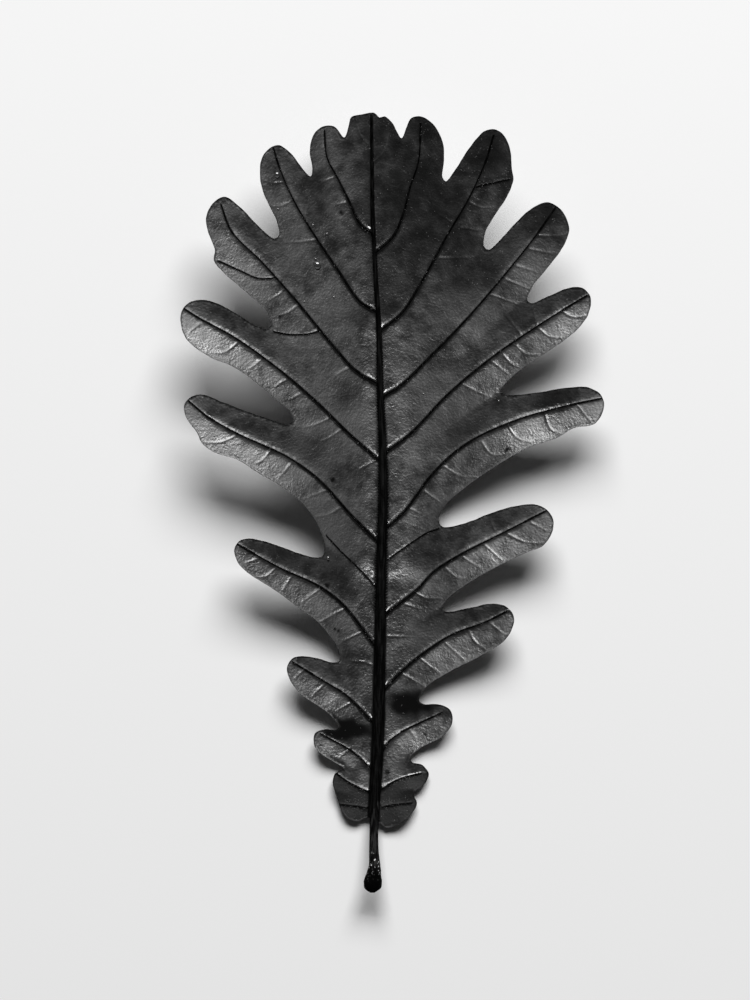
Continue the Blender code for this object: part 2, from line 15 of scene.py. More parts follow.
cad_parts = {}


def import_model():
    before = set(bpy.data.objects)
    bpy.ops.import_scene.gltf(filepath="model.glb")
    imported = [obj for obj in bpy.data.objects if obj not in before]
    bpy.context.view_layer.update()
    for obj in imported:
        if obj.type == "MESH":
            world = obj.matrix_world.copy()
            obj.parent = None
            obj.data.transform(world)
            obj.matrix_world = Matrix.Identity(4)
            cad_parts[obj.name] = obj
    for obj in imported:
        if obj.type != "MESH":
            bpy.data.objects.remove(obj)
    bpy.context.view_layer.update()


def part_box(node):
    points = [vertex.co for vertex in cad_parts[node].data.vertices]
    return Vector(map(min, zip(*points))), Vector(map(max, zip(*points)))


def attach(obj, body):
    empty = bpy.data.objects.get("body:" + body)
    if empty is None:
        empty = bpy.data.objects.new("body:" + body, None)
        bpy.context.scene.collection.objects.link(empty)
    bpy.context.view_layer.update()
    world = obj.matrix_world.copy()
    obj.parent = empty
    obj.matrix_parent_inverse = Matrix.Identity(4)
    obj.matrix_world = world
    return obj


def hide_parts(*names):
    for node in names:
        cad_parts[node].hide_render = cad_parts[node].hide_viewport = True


# Sizes, in millimetres. The tables below are drawn for a leaf of TABLE_LENGTH.
TABLE_LENGTH = 150.0
BLADE_THICKNESS = 0.3
RIM_THICKNESS = 0.2

# Half widths of the ribs, and how far they stand out as a share of half width
MIDRIB_PLACES = [-61.0, -42.0, 0.0, 23.0, 50.0, 75.0]
MIDRIB_HALF_WIDTHS = [1.1, 1.22, 0.95, 0.62, 0.38, 0.22]
MIDRIB_PROUD = 1.4
SIDE_VEIN_HALF_WIDTHS = [0.46, 0.18]
SMALL_VEIN_HALF_WIDTHS = [0.3, 0.16]
VEIN_PROUD = 1.2
NET_HALF_WIDTH = 0.16
NET_HEIGHT = 0.12
VEIN_FULL_LENGTH = 22.0
VEIN_LEAST_SIZE = 0.55
VEIN_LEAST_WIDTH = 0.16
UNDERSIDE_IMPRINT = 0.12

# The cradle, as in the part's source: how the two sides, the tip and the base rise
RISE_AT_BASE = 4.0
RISE_FROM = -65.0
LEFT_RISE = 13.0
LEFT_FULL = 5.0
LEFT_REACH = 14.0
LEFT_ROUNDING = 5.0
RIGHT_RISE = 10.5
RIGHT_FULL = -15.0
RIGHT_REACH = 20.0
RIGHT_ROUNDING = 9.0
TIP_START = 31.0
TIP_LIFT = 0.0036
TIP_TWIST = 0.5
TIP_TWIST_REACH = 8.0
BASE_START = -19.0
BASE_LIFT = 0.0005

# It is flat between two places along Y and rises a little past each end
REST_DEPTH = 0.5
REST_SOFTNESS = 0.3
REST_FROM = -10.0
REST_TO = 33.0
REST_ENDS = 6.0
END_RISE = 1.0
END_REACH = 7.0

# Each lobe is a gutter along its vein, from about as far out as the bays reach in, a little wavy
GUTTER_SLOPE = 0.32
GUTTER_ROUNDING = 1.5
GUTTER_REACH = 8.0
BAY_PLACES = [-51.0, -40.0, -9.0, 18.0, 36.0, 50.0, 62.0, 70.0]
BAY_DISTANCES = [6.0, 7.5, 11.0, 19.0, 24.0, 19.5, 12.5, 5.5]
GUTTER_STARTS = 0.45
GUTTER_FULL = 1.1
WAVE_HEIGHT = 0.22
WAVE_LENGTH = 19.0
WAVE_RUNS = (0.8, 0.6)

# Finer relief than the part's source has
PUCKER_HEIGHT = 0.1
PUCKER_LENGTH = 3.2
EDGE_UNEVEN = 0.07
EDGE_UNEVEN_LENGTH = 1.3
PUCKER_FROM_RIM = 2.0
RIM_REACH = 0.5
IMPRINT_SHARE = 0.3

# Layers of the noise that the margin and the pits follow
EDGE_NOISE_LAYER = 5.0
PINCH_NOISE_LAYER = 9.0

# How far a rib is looked for, how round its top is, and how much a net tie sinks
RIB_REACH = 2.0
RIB_ROUNDNESS = 0.65
NET_FADE = 0.6

# Where masks begin and are full: for ribs and net as shares of their half width
RIB_EDGE = (1.35, 0.75)
NET_EDGE = (1.3, 0.3)
MIDRIB_CORE_FROM = 1.15
MIDRIB_CORE_GAIN = 2.0
RIM_EDGE = (0.42, 0.1)
PIT_EDGE = (0.02, 0.45)

# Spacing of the fine mesh
OUTLINE_STEP = 0.45
RIB_STEP = 0.55
NET_STEP = 0.5
FILL_STEP = 0.47
LINE_GAP = 0.13
NET_GAP = 0.1
FILL_GAP = 0.26
OUTLINE_GAP = 0.2
FOLD_STEP = 2.5
ROW_SHARE = 0.866
DIVIDING_TOLERANCE = 1e-5

# A rib is drawn as rows of points at these shares of its half width
MIDRIB_ROWS = (0.0, -0.35, 0.35, -0.65, 0.65, -0.88, 0.88, -1.0, 1.0, -1.3, 1.3)
VEIN_ROWS = (0.0, -0.6, 0.6, -1.0, 1.0)
NET_ROWS = (0.0, -1.0, 1.0)

# The picture: its height, the size of a pixel, and where its middle is, in millimetres
PICTURE_HEIGHT = 1000
MM_PER_PIXEL = 0.1926
MIDDLE_X = -3.37
MIDDLE_Y = 0.61
CAMERA_HEIGHT = 3000.0
SENSOR = 36.0

# Shade, shine and refractive index
BLADE_SHADE = 0.014
BLADE_SHINE = 1.0
DULL_SHINE = 0.2
BLADE_INDEX = 1.7
RIB_SHINE = 0.05

# Light and floor
KEY_DISTANCE = 2.2
KEY_ELEVATION = 41.0
KEY_TURN = 7.0
KEY_WIDTH = 1.75
KEY_DEPTH = 1.0
KEY_POWER = 85.0
SKY_STRENGTH = 0.03
FLOOR_COLOUR = (0.8, 0.8, 0.8, 1.0)
FLOOR_ROUGHNESS = 0.9
FLOOR_SIZE = 6.0

# The outline, lobe by lobe, up the left side from the stalk and down the right side
OUTLINE = {
    "left_1": [(-3.6, -60.8), (-5.0, -60.5), (-6.7, -61.2), (-8.5, -60.7), (-9.9, -59.1),
        (-10.5, -57.3)],
    "left_2": [(-11.2, -55.2), (-11.5, -53.7), (-11.1, -52.0), (-9.3, -51.1)],
    "left_3": [(-11.5, -49.7), (-13.9, -48.1), (-15.1, -46.4), (-14.9, -44.3), (-13.0, -43.5),
        (-11.0, -43.6), (-10.3, -43.1)],
    "left_4": [(-11.8, -41.0), (-14.3, -39.0), (-17.8, -36.6), (-19.8, -33.8), (-20.3, -31.6),
        (-19.3, -29.9), (-17.2, -29.4), (-14.2, -29.9), (-11.8, -30.6), (-10.2, -30.4)],
    "left_5": [(-10.3, -28.5), (-11.7, -26.0), (-14.7, -22.6), (-18.4, -19.8), (-23.2, -16.3),
        (-27.5, -13.6), (-29.7, -11.4), (-30.4, -8.9), (-29.4, -7.3), (-27.4, -6.8), (-23.4, -7.7),
        (-18.6, -9.4), (-15.3, -10.4), (-13.5, -10.2)],
    "left_6": [(-13.1, -7.9), (-14.6, -3.8), (-17.8, 0.5), (-21.5, 3.3), (-26.3, 6.1), (-29.7, 8.3),
        (-34.5, 9.9), (-36.8, 11.8), (-37.5, 13.5), (-39.6, 16.5), (-40.0, 18.8), (-38.7, 20.4),
        (-36.3, 20.8), (-33.4, 19.7), (-28.0, 17.6), (-22.8, 15.8), (-20.2, 15.0), (-19.0, 15.8)],
    "left_7": [(-19.6, 17.5), (-23.0, 20.4), (-26.7, 23.6), (-30.9, 26.3), (-35.2, 28.1), (-39.3, 31.2),
        (-40.5, 33.8), (-40.6, 36.4), (-39.3, 38.3), (-37.1, 39.0), (-34.4, 38.6), (-30.5, 36.7),
        (-26.7, 34.3), (-24.3, 33.4), (-23.3, 34.1)],
    "left_8": [(-23.9, 36.5), (-27.3, 39.8), (-32.4, 44.2), (-34.3, 46.6), (-34.1, 48.5), (-35.4, 52.1),
        (-35.8, 54.7), (-34.5, 57.5), (-32.2, 58.8), (-29.7, 57.2), (-24.9, 52.4), (-22.6, 50.8),
        (-21.8, 51.5)],
    "left_9": [(-22.3, 54.3), (-24.4, 58.6), (-25.4, 62.2), (-25.1, 66.1), (-23.5, 68.2), (-21.7, 68.7),
        (-19.5, 67.1), (-17.0, 63.9), (-15.7, 62.8)],
    "left_10": [(-15.4, 64.2), (-15.9, 67.6), (-15.2, 70.7), (-13.4, 72.4), (-11.2, 72.4), (-9.3, 70.3)],
    "tip": [(-8.5, 72.3), (-7.9, 74.2), (-6.1, 74.7), (-3.6, 75.0), (-2.5, 74.1), (-1.5, 74.3),
        (-0.1, 73.1), (1.7, 70.1)],
    "right_10": [(2.6, 72.0), (3.6, 73.9), (5.5, 74.2), (7.8, 72.7), (9.5, 69.6), (9.9, 66.1),
        (9.6, 62.6), (10.2, 61.8)],
    "right_9": [(12.1, 64.1), (14.9, 68.4), (17.6, 71.3), (19.5, 71.7), (21.3, 70.6), (22.6, 67.6),
        (22.9, 64.0), (23.2, 62.1), (22.0, 58.9), (19.4, 54.9), (17.7, 51.7), (17.6, 49.2),
        (18.5, 48.7)],
    "right_8": [(20.9, 50.8), (24.4, 54.6), (27.4, 57.0), (30.0, 57.7), (32.5, 56.1), (33.9, 52.7),
        (32.8, 49.3), (29.6, 45.0), (26.8, 41.5), (25.9, 39.0), (26.6, 38.4)],
    "right_7": [(29.8, 39.7), (33.8, 41.3), (36.4, 41.4), (38.0, 39.6), (37.6, 36.3), (35.1, 33.0),
        (30.1, 29.3), (25.5, 26.3), (21.8, 23.1), (20.7, 21.4)],
    "right_6": [(22.2, 20.8), (27.4, 21.2), (33.8, 22.2), (37.7, 22.2), (40.1, 20.7), (40.6, 18.4),
        (38.9, 15.3), (34.8, 14.4), (31.5, 12.5), (26.1, 10.7), (20.3, 7.4), (14.5, 3.4), (10.3, -0.2),
        (8.9, -3.0), (9.6, -4.5)],
    "right_5": [(13.4, -4.0), (19.5, -1.7), (24.4, -0.4), (28.1, -0.4), (30.4, -2.1), (30.9, -4.6),
        (29.0, -8.1), (25.7, -9.5), (19.5, -12.5), (14.2, -15.6), (10.5, -18.5), (9.4, -20.3),
        (10.4, -20.9)],
    "right_4": [(14.9, -20.1), (19.5, -19.3), (22.3, -20.2), (23.4, -22.4), (21.8, -26.1),
        (17.2, -29.2), (10.7, -32.6), (6.5, -35.4), (5.1, -38.0), (6.0, -38.7)],
    "right_3": [(8.8, -38.7), (11.1, -39.8), (11.5, -42.2), (9.7, -44.8), (5.3, -47.2), (3.5, -48.8),
        (3.7, -49.8)],
    "right_2": [(5.7, -50.4), (7.0, -52.2), (5.9, -54.4), (4.0, -55.8)],
    "right_1": [(4.7, -57.7), (3.8, -59.7), (1.0, -61.9), (-1.3, -62.4), (-2.5, -61.5)],
}

# The midrib, from the stalk to the tip
MIDRIB = [
    (-3.6, -60.8), (-3.5, -57.2), (-3.0, -49.5), (-2.7, -41.8), (-2.4, -26.4), (-2.1, -9.0),
    (-1.8, 0.6), (-1.9, 10.2), (-2.4, 22.8), (-2.6, 33.3), (-3.1, 41.1), (-3.5, 48.8), (-3.8, 54.5),
    (-3.9, 62.2), (-4.0, 69.9), (-4.0, 74.2)]

# The main vein of each lobe, from the midrib to the lobe's tip
SIDE_VEINS = {
    "left_1": [(-4.5, -58.7), (-7.3, -58.3), (-9.8, -58.0)],
    "left_2": [(-4.5, -55.6), (-8.3, -53.8), (-10.9, -51.9)],
    "left_3": [(-4.1, -51.2), (-6.0, -49.2), (-8.3, -47.4), (-13.7, -44.4)],
    "left_4": [(-3.9, -42.0), (-6.6, -39.1), (-9.2, -36.7), (-13.1, -34.3), (-19.1, -30.6)],
    "left_5": [(-3.4, -27.3), (-6.0, -23.8), (-9.5, -19.5), (-13.8, -16.1), (-21.7, -12.4),
        (-29.7, -7.9)],
    "left_6": [(-2.4, -7.7), (-7.9, -2.3), (-14.1, 4.5), (-20.2, 8.9), (-29.4, 13.2), (-35.6, 16.7),
        (-39.0, 19.5)],
    "left_7": [(-2.2, 8.1), (-7.9, 13.0), (-15.0, 19.9), (-22.3, 26.1), (-30.9, 32.2), (-37.1, 35.5),
        (-39.8, 37.2)],
    "left_8": [(-2.4, 22.9), (-7.1, 25.6), (-11.4, 30.3), (-18.5, 38.9), (-25.1, 46.3), (-30.9, 52.2),
        (-32.9, 57.2)],
    "left_9": [(-3.2, 37.0), (-6.3, 38.9), (-10.5, 44.9), (-15.7, 52.6), (-18.9, 58.0), (-21.7, 64.4),
        (-22.8, 68.0)],
    "left_10": [(-3.8, 52.0), (-6.3, 53.9), (-8.2, 57.8), (-10.5, 62.4), (-12.6, 66.5), (-13.1, 71.5)],
    "tip": [(-3.9, 65.0), (-4.0, 74.2)],
    "right_10": [(-3.2, 48.4), (0.2, 51.5), (2.1, 55.8), (3.3, 60.5), (5.0, 65.7), (5.4, 72.8)],
    "right_9": [(-2.4, 33.3), (1.9, 36.8), (5.7, 42.8), (10.4, 51.3), (14.7, 58.6), (17.9, 65.7),
        (19.3, 70.3)],
    "right_8": [(-2.0, 20.6), (1.4, 22.6), (7.9, 28.9), (14.3, 35.5), (21.3, 43.6), (27.6, 51.5),
        (31.3, 56.8)],
    "right_7": [(-1.4, 9.9), (3.4, 13.4), (11.0, 21.3), (19.6, 28.4), (27.8, 34.0), (33.8, 37.8),
        (37.7, 40.1)],
    "right_6": [(-1.3, -4.8), (2.4, -1.4), (8.0, 6.0), (14.1, 11.4), (23.3, 15.8), (32.5, 18.5),
        (40.0, 20.1)],
    "right_5": [(-1.4, -21.3), (4.9, -16.4), (8.0, -13.1), (12.6, -10.1), (21.8, -5.4), (29.4, -1.5)],
    "right_4": [(-1.4, -35.6), (2.0, -32.1), (5.2, -29.4), (11.2, -25.4), (17.9, -22.8), (22.5, -20.5)],
    "right_3": [(-2.0, -47.9), (-0.6, -45.8), (2.0, -43.9), (5.2, -42.3), (9.3, -40.4)],
    "right_2": [(-2.6, -55.4), (-0.6, -54.1), (1.6, -53.0), (5.3, -52.0)],
    "right_1": [(-2.6, -58.6), (0.0, -58.1), (3.4, -57.7)],
}

# Smaller veins that fork off towards a lobe's second point or a bay between two lobes
SMALL_VEINS = [
    [(-22.6, 43.2), (-25.9, 43.2), (-29.2, 44.6), (-33.4, 46.5)],
    [(-14.0, 33.2), (-15.9, 32.6), (-19.7, 32.4), (-22.6, 32.9)],
    [(15.8, 60.7), (19.0, 61.4), (22.4, 62.1)],
    [(-3.2, -16.1), (-6.7, -12.4), (-9.8, -9.4), (-12.7, -6.3)],
    [(-1.3, -11.1), (3.4, -7.8), (6.7, -5.7), (8.8, -4.9)],
]

# The raised net: the ties between the side veins and towards the margin
NET = [
    [(-4.1, 68.4), (-5.8, 70.3), (-7.0, 72.8)], [(-3.6, 65.7), (-1.6, 67.8), (-0.7, 71.1)],
    [(-3.6, -31.2), (-5.4, -30.6), (-8.2, -30.3)], [(-1.3, -25.6), (2.9, -25.7)],
    [(-20.7, 41.2), (-22.1, 39.9), (-23.6, 39.1)], [(-18.0, 38.2), (-19.9, 36.8), (-21.7, 36.0)],
    [(-14.5, 50.7), (-17.8, 50.2), (-20.7, 50.1)], [(-20.7, 61.7), (-23.2, 61.5), (-24.6, 62.0)],
    [(-19.2, 58.2), (-21.1, 57.2), (-23.0, 57.0)], [(-10.9, 62.8), (-13.6, 61.9), (-14.9, 62.2)],
    [(-9.1, 57.8), (-11.1, 57.4)], [(-29.6, 31.0), (-32.3, 28.9), (-34.8, 28.9)],
    [(-24.9, 27.8), (-27.4, 25.8)], [(-20.1, 23.9), (-22.4, 22.6)], [(-17.8, 21.0), (-19.7, 19.9)],
    [(-37.1, 34.3), (-39.0, 32.8)], [(-8.2, 26.2), (-11.1, 24.5)],
    [(-12.4, 16.2), (-14.9, 15.1), (-17.2, 14.5)], [(-9.7, 14.3), (-11.7, 12.9), (-13.8, 11.8)],
    [(-29.8, 13.1), (-33.0, 11.7), (-36.5, 11.7)], [(-23.6, 10.0), (-24.7, 8.5), (-26.3, 7.5)],
    [(-19.4, 7.7), (-21.9, 4.8)], [(-12.8, 2.5), (-17.0, 0.8)],
    [(-9.5, -0.5), (-12.0, -2.0), (-14.7, -2.7)], [(-3.2, 8.3), (-6.3, 6.6)],
    [(-26.1, -10.8), (-28.4, -11.5)], [(-22.6, -12.6), (-24.4, -14.1), (-25.9, -14.2)],
    [(-19.5, -14.2), (-21.1, -16.7)], [(-14.0, -16.5), (-17.4, -19.0)],
    [(-9.1, -20.2), (-13.8, -22.7)], [(-5.7, -24.7), (-9.5, -26.5)], [(-17.2, -32.1), (-18.6, -33.5)],
    [(-13.2, -34.9), (-15.3, -36.9)], [(-8.2, -38.5), (-10.9, -40.0)],
    [(-8.2, -47.2), (-10.1, -48.9)], [(14.5, 58.0), (16.9, 56.8), (19.7, 56.8)],
    [(13.2, 53.0), (16.9, 52.4)], [(9.1, 47.2), (12.4, 47.2), (16.5, 47.4)],
    [(11.7, 53.8), (9.1, 55.5)], [(27.8, 51.5), (30.3, 51.3), (33.4, 51.6)],
    [(25.9, 48.9), (28.4, 48.4), (30.9, 48.0)], [(23.4, 45.7), (27.4, 44.5)],
    [(21.3, 43.2), (26.1, 41.2)], [(19.0, 40.1), (24.2, 38.2)],
    [(32.6, 36.8), (35.0, 35.7), (37.1, 36.0)], [(28.0, 33.7), (30.1, 32.0), (32.8, 31.8)],
    [(23.8, 30.3), (25.5, 28.7), (27.8, 28.5)], [(21.1, 28.9), (22.6, 27.0), (24.2, 26.2)],
    [(19.0, 27.4), (22.1, 24.9)], [(13.6, 22.9), (15.9, 21.6), (18.8, 20.4)],
    [(27.8, 34.5), (26.9, 37.6)], [(24.6, 32.6), (22.2, 35.7)], [(35.5, 18.9), (37.8, 16.0)],
    [(29.2, 17.4), (30.5, 14.1), (32.3, 13.4)], [(22.2, 14.9), (24.0, 12.5), (26.5, 11.7)],
    [(17.2, 11.8), (19.0, 9.4), (21.5, 9.4)], [(9.7, 7.2), (13.2, 5.2), (16.3, 5.0)],
    [(5.9, 2.5), (9.1, 0.2)], [(3.0, -0.9), (4.9, -1.8)], [(26.7, -3.8), (29.4, -5.2)],
    [(22.1, -5.9), (25.3, -7.4), (28.8, -7.7)], [(17.8, -8.1), (20.9, -10.9)],
    [(19.7, -5.2), (18.8, -3.1)], [(13.2, -10.2), (16.9, -12.5)],
    [(10.3, -12.5), (12.4, -14.3), (14.0, -14.5)], [(4.3, -17.1), (6.3, -18.2), (9.1, -18.3)],
    [(2.4, -19.4), (5.1, -20.3)], [(18.4, -22.7), (21.5, -25.3)],
    [(14.7, -24.4), (15.9, -26.7), (17.8, -28.0)], [(9.9, -26.6), (13.8, -30.2)],
    [(5.5, -30.0), (8.8, -32.6)], [(2.0, -32.9), (6.1, -35.2)], [(3.0, -43.2), (4.5, -45.2)],
]

# The stalk, from inside the midrib to its thick foot: x, y, height of its axis, radius
STALK = [
    (-3.3, -53.7, 1.45, 0.6),
    (-3.4, -57.2, 1.75, 0.86),
    (-3.5, -60.1, 2.2, 0.88),
    (-3.6, -63.0, 2.7, 0.83),
    (-3.6, -66.8, 3.5, 0.9),
    (-3.5, -69.9, 4.2, 1.15),
    (-3.7, -71.6, 4.6, 1.5),
    (-3.85, -73.1, 4.9, 1.76),
    (-3.9, -74.2, 5.1, 1.35),
    (-3.9, -74.9, 5.2, 0.35),
]
STALK_STEP = 0.35
STALK_SIDES = 28
STALK_RIDGES = 7
STALK_RIDGE_SHARE = 0.045
STALK_RIDGE_BEND = 0.8
STALK_RIDGE_BEND_RATE = 0.5
STALK_FOOT_FROM = -69.0
STALK_FOOT_FULL = -72.5
STALK_BLACK_FULL = -71.5
# Where the pale flecks, painted glints, sit on the stalk's neck, and how far they reach
STALK_GLINTS_AT = -69.3
STALK_GLINTS_REACH = 1.6
STALK_FOOT_ROUGH = 0.16
STALK_FOOT_RATE = 1.7

# Dark marks on the blade: x, y, radius, strength. Some are stains; those over the right half of the tip,
# which turns away from the lamp, and those round the pinched pits are painted shade
STAINS_AND_PAINTED_SHADE = [
    (-9.0, 21.4, 2.6, 0.5), (-14.3, 11.0, 3.0, 0.5), (-7.8, 4.8, 2.6, 0.45), (9.9, 28.3, 4.0, 0.35),
    (-9.3, -14.4, 2.9, 0.6), (2.2, -19.8, 2.4, 0.4), (6.5, -20.6, 2.3, 0.5), (-11.3, 49.1, 1.3, 0.7),
    (-6.3, 56.8, 1.7, 0.5), (-15.5, 61.5, 1.4, 0.5), (-14.3, 48.4, 1.5, 0.45), (5.0, 62.5, 5.0, 0.3),
    (-7.0, -30.2, 2.6, 0.5), (-21.7, -8.7, 2.6, 0.45), (13.0, 45.0, 3.5, 0.25), (5.8, -9.0, 3.2, 0.35),
    (6.0, 71.5, 2.2, 0.8), (19.3, 69.3, 1.8, 0.6), (30.4, 55.6, 2.2, 0.8), (27.0, 53.0, 1.8, 0.5),
    (1.0, 58.0, 4.5, 0.6), (5.5, 50.0, 5.0, 0.6), (1.5, 42.0, 4.0, 0.5), (11.5, 56.5, 4.0, 0.4),
    (-2.4, 53.0, 4.0, 0.5), (6.5, 62.0, 4.5, 0.5), (10.0, 48.5, 4.5, 0.5), (17.5, 65.5, 3.0, 0.5),
    (31.0, 20.2, 3.0, 0.6), (12.0, 13.0, 2.4, 0.4), (-9.6, -42.5, 3.2, 0.6), (3.4, -39.5, 3.4, 0.6),
]
# Pale worn ground that shines wider, and duller ground at some lobes' tips: x, y, radius, strength
PALE = [
    (-21.0, 57.0, 3.5, 0.7), (-13.0, 69.0, 4.0, 0.5), (-9.0, 59.0, 4.5, 0.5), (-27.0, 43.0, 3.5, 0.7),
    (-19.0, 30.0, 4.5, 0.6), (-11.0, 23.0, 5.0, 0.6), (-17.0, 8.0, 5.0, 0.7), (-11.0, -2.0, 5.0, 0.8),
    (-14.0, -19.0, 3.0, 0.5), (-8.0, -24.0, 3.0, 0.5), (12.0, 38.0, 4.5, 0.6), (27.0, 44.0, 4.5, 1.0),
    (20.0, 33.0, 4.0, 0.5), (11.0, 16.0, 6.0, 0.7), (4.0, 10.0, 3.0, 0.5), (7.0, -15.0, 3.0, 0.5),
    (7.0, -24.5, 3.5, 0.6), (2.0, -43.5, 2.5, 0.6), (-7.5, 16.0, 6.0, 0.9), (-12.0, -5.0, 5.0, 1.0),
    (-20.0, 49.0, 5.0, 0.7), (15.0, 37.0, 5.0, 0.8), (24.5, 49.0, 4.0, 0.7), (-14.0, 12.0, 5.0, 0.9),
    (-12.0, 36.0, 5.0, 0.7), (8.0, 22.0, 5.0, 0.8),
]
DULL = [
    (-38.0, 19.0, 2.8, 0.6), (38.5, 19.0, 3.0, 0.6), (-38.0, 36.0, 2.8, 0.6), (27.5, -3.0, 3.4, 0.6),
]
# The lowest lobes are dull below this line, which follows their upper veins, and painted darker there:
# painted shade, as for lobes that droop away from the lamp
DULL_BORDER_ACROSS = [-12.0, -4.7, -3.5, -2.3, 6.0]
DULL_BORDER_ALONG = [-51.5, -55.4, -56.0, -54.8, -51.7]
# Pits where the blade is pinched beside a bay, painted black as the shadow of the fold: x, y, half
# length, half height; and black specks
PINCHES = [(3.4, -38.5, 4.2, 2.3), (-8.6, -43.7, 4.0, 1.8)]
PINCH_DEPTH = 0.1
PINCH_UNEVEN = 0.7
PINCH_UNEVEN_LENGTH = 1.6
PINCH_FALL = 1.4
SPECKS = [
    (-11.5, 4.5, 0.42), (-12.6, -15.8, 0.4), (-9.9, 55.9, 0.38), (-0.9, -51.8, 0.42),
    (-11.1, -24.2, 0.25), (-10.3, -24.5, 0.22), (22.2, 10.4, 0.3), (21.6, 10.0, 0.22),
    (-17.9, -45.8, 0.2), (6.4, -44.4, 0.22), (-21.6, 36.0, 0.2), (-17.0, 29.5, 0.18),
]
# Small clear drops: x, y, radius, height
DROPS = [
    (-14.5, 45.7, 0.8, 0.45), (-14.8, 46.9, 0.3, 0.2), (-22.2, 63.0, 0.6, 0.32),
    (-15.3, 53.4, 0.3, 0.2), (-12.6, 51.8, 0.28, 0.18), (-22.0, 56.4, 0.26, 0.15),
    (-11.3, 39.6, 0.3, 0.18), (-17.0, 38.7, 0.24, 0.14),
    (-12.4, -10.6, 0.4, 0.24), (20.4, 19.6, 0.24, 0.14), (6.0, 21.0, 0.22, 0.14),
]

# A pale crescent is painted on each drop's side away from the lamp: painted light, where a clear drop
# would gather it
PAINTED_CRESCENT_FROM = 0.6
PAINTED_CRESCENT_NARROWNESS = 3

# Hairs: how many, their size, and the tufts where a side vein leaves the midrib
LONE_HAIRS = 1100
VEIN_HAIRS = 1600
TUFT_HAIRS = 40
HAIR_LENGTHS = (0.22, 0.6)
HAIR_RADIUS = 0.022
HAIR_LIFTS = (0.1, 0.5)
HAIR_SINK = 0.02
HAIR_DROOP = 0.12
HAIR_BEND = 0.15
HAIR_MIDDLE_RADIUS = 0.8
HAIR_SPREAD = 0.8
HAIR_SEED = 11
TUFT_ALONG = 1.3
TUFT_ACROSS = 0.2
TUFT_UP = 0.5
TUFT_FROM_VEIN = 0.3

# Where the darker ground by the midrib is full and where it ends
TROUGH_FULL = 1.0
TROUGH_REACH = 6.0

# Softness of the marks' borders, and strength of masks on the lower face
MARK_SOFTNESS = 0.75
DULL_SOFTNESS = 0.4
DULL_BORDER_SOFTNESS = 0.3
SPECK_SOFTNESS = 0.5
UNDERSIDE_SHARE = 0.5

# A face of the blade has the ribs' finish, or the dull one, where it is more than this much so
CORE_SHARE = 0.3
DULL_SHARE = 0.65


def smooth(low, high, value):
    """A step from 0 at low to 1 at high, with soft ends."""
    share = np.clip((value - low) / (high - low), 0.0, 1.0)
    return share * share * (3.0 - 2.0 * share)


def span_point(before, start, end, after, share):
    """A point of the centripetal curve from start to end, at this share of the span."""
    first = np.linalg.norm(start - before) ** 0.5
    second = first + np.linalg.norm(end - start) ** 0.5
    third = second + np.linalg.norm(after - end) ** 0.5
    now = first + (second - first) * share
    lead = (before * (first - now) + start * now) / first
    middle = (start * (second - now) + end * (now - first)) / (second - first)
    trail = (end * (third - now) + after * (now - second)) / (third - second)
    low = (lead * (second - now) + middle * now) / second
    high = (middle * (third - now) + trail * (now - first)) / (third - first)
    return (low * (second - now) + high * (now - first)) / (second - first)


def through(points, step, closed=False):
    """Places about one step apart along a smooth curve through the given points."""
    knots = [np.array(point, float) for point in points]
    if closed:
        chain = [knots[-1]] + knots + knots[:2]
    else:
        chain = [2 * knots[0] - knots[1]] + knots + [2 * knots[-1] - knots[-2]]
    places = []
    for before, start, end, after in zip(chain, chain[1:], chain[2:], chain[3:]):
        count = max(1, round(np.linalg.norm((end - start)[:2]) / step))
        places += [span_point(before, start, end, after, k / count) for k in range(count)]
    if not closed:
        places.append(knots[-1])
    return np.array(places)


def nearest(places, line):
    """Distance from each place to a line, and how far along the line that is, from 0 to 1."""
    lengths = np.linalg.norm(np.diff(line, axis=0), axis=1)
    reached = np.concatenate([[0.0], np.cumsum(lengths)])
    best = np.full(len(places), np.inf)
    share = np.zeros(len(places))
    for start, end, length, done in zip(line, line[1:], lengths, reached):
        along = np.clip((places - start) @ (end - start) / length ** 2, 0.0, 1.0)
        gap = np.linalg.norm(places - start - along[:, None] * (end - start), axis=1)
        closer = gap < best
        best = np.where(closer, gap, best)
        share = np.where(closer, (done + along * length) / reached[-1], share)
    return best, share


def near_line(places, line, reach):
    """As nearest, but only for places near the line's box; the others are at infinity."""
    low, high = line.min(axis=0) - reach, line.max(axis=0) + reach
    close = np.nonzero(np.all((places > low) & (places < high), axis=1))[0]
    gap = np.full(len(places), np.inf)
    share = np.zeros(len(places))
    gap[close], share[close] = nearest(places[close], line)
    return gap, share


def inside(places, ring):
    """True for each place within a closed ring of points."""
    crossed = np.zeros(len(places), bool)
    x, y = places[:, 0], places[:, 1]
    for (x1, y1), (x2, y2) in zip(ring, np.roll(ring, -1, axis=0)):
        if y1 != y2:
            over = (y1 > y) != (y2 > y)
            crossed ^= over & (x < x1 + (y - y1) * (x2 - x1) / (y2 - y1))
    return crossed


def midrib_x(y):
    """Where the midrib lies across the leaf."""
    return np.interp(y, [point[1] for point in MIDRIB], [point[0] for point in MIDRIB])


def side_height(across, y, rise, full, reach, rounding):
    """How high one side of the cradle is: steep by the midrib, then levelling out."""
    top = RISE_AT_BASE + (rise - RISE_AT_BASE) * smooth(RISE_FROM, full, y)
    return top * (1.0 - np.exp((rounding - np.hypot(across, rounding)) / reach))


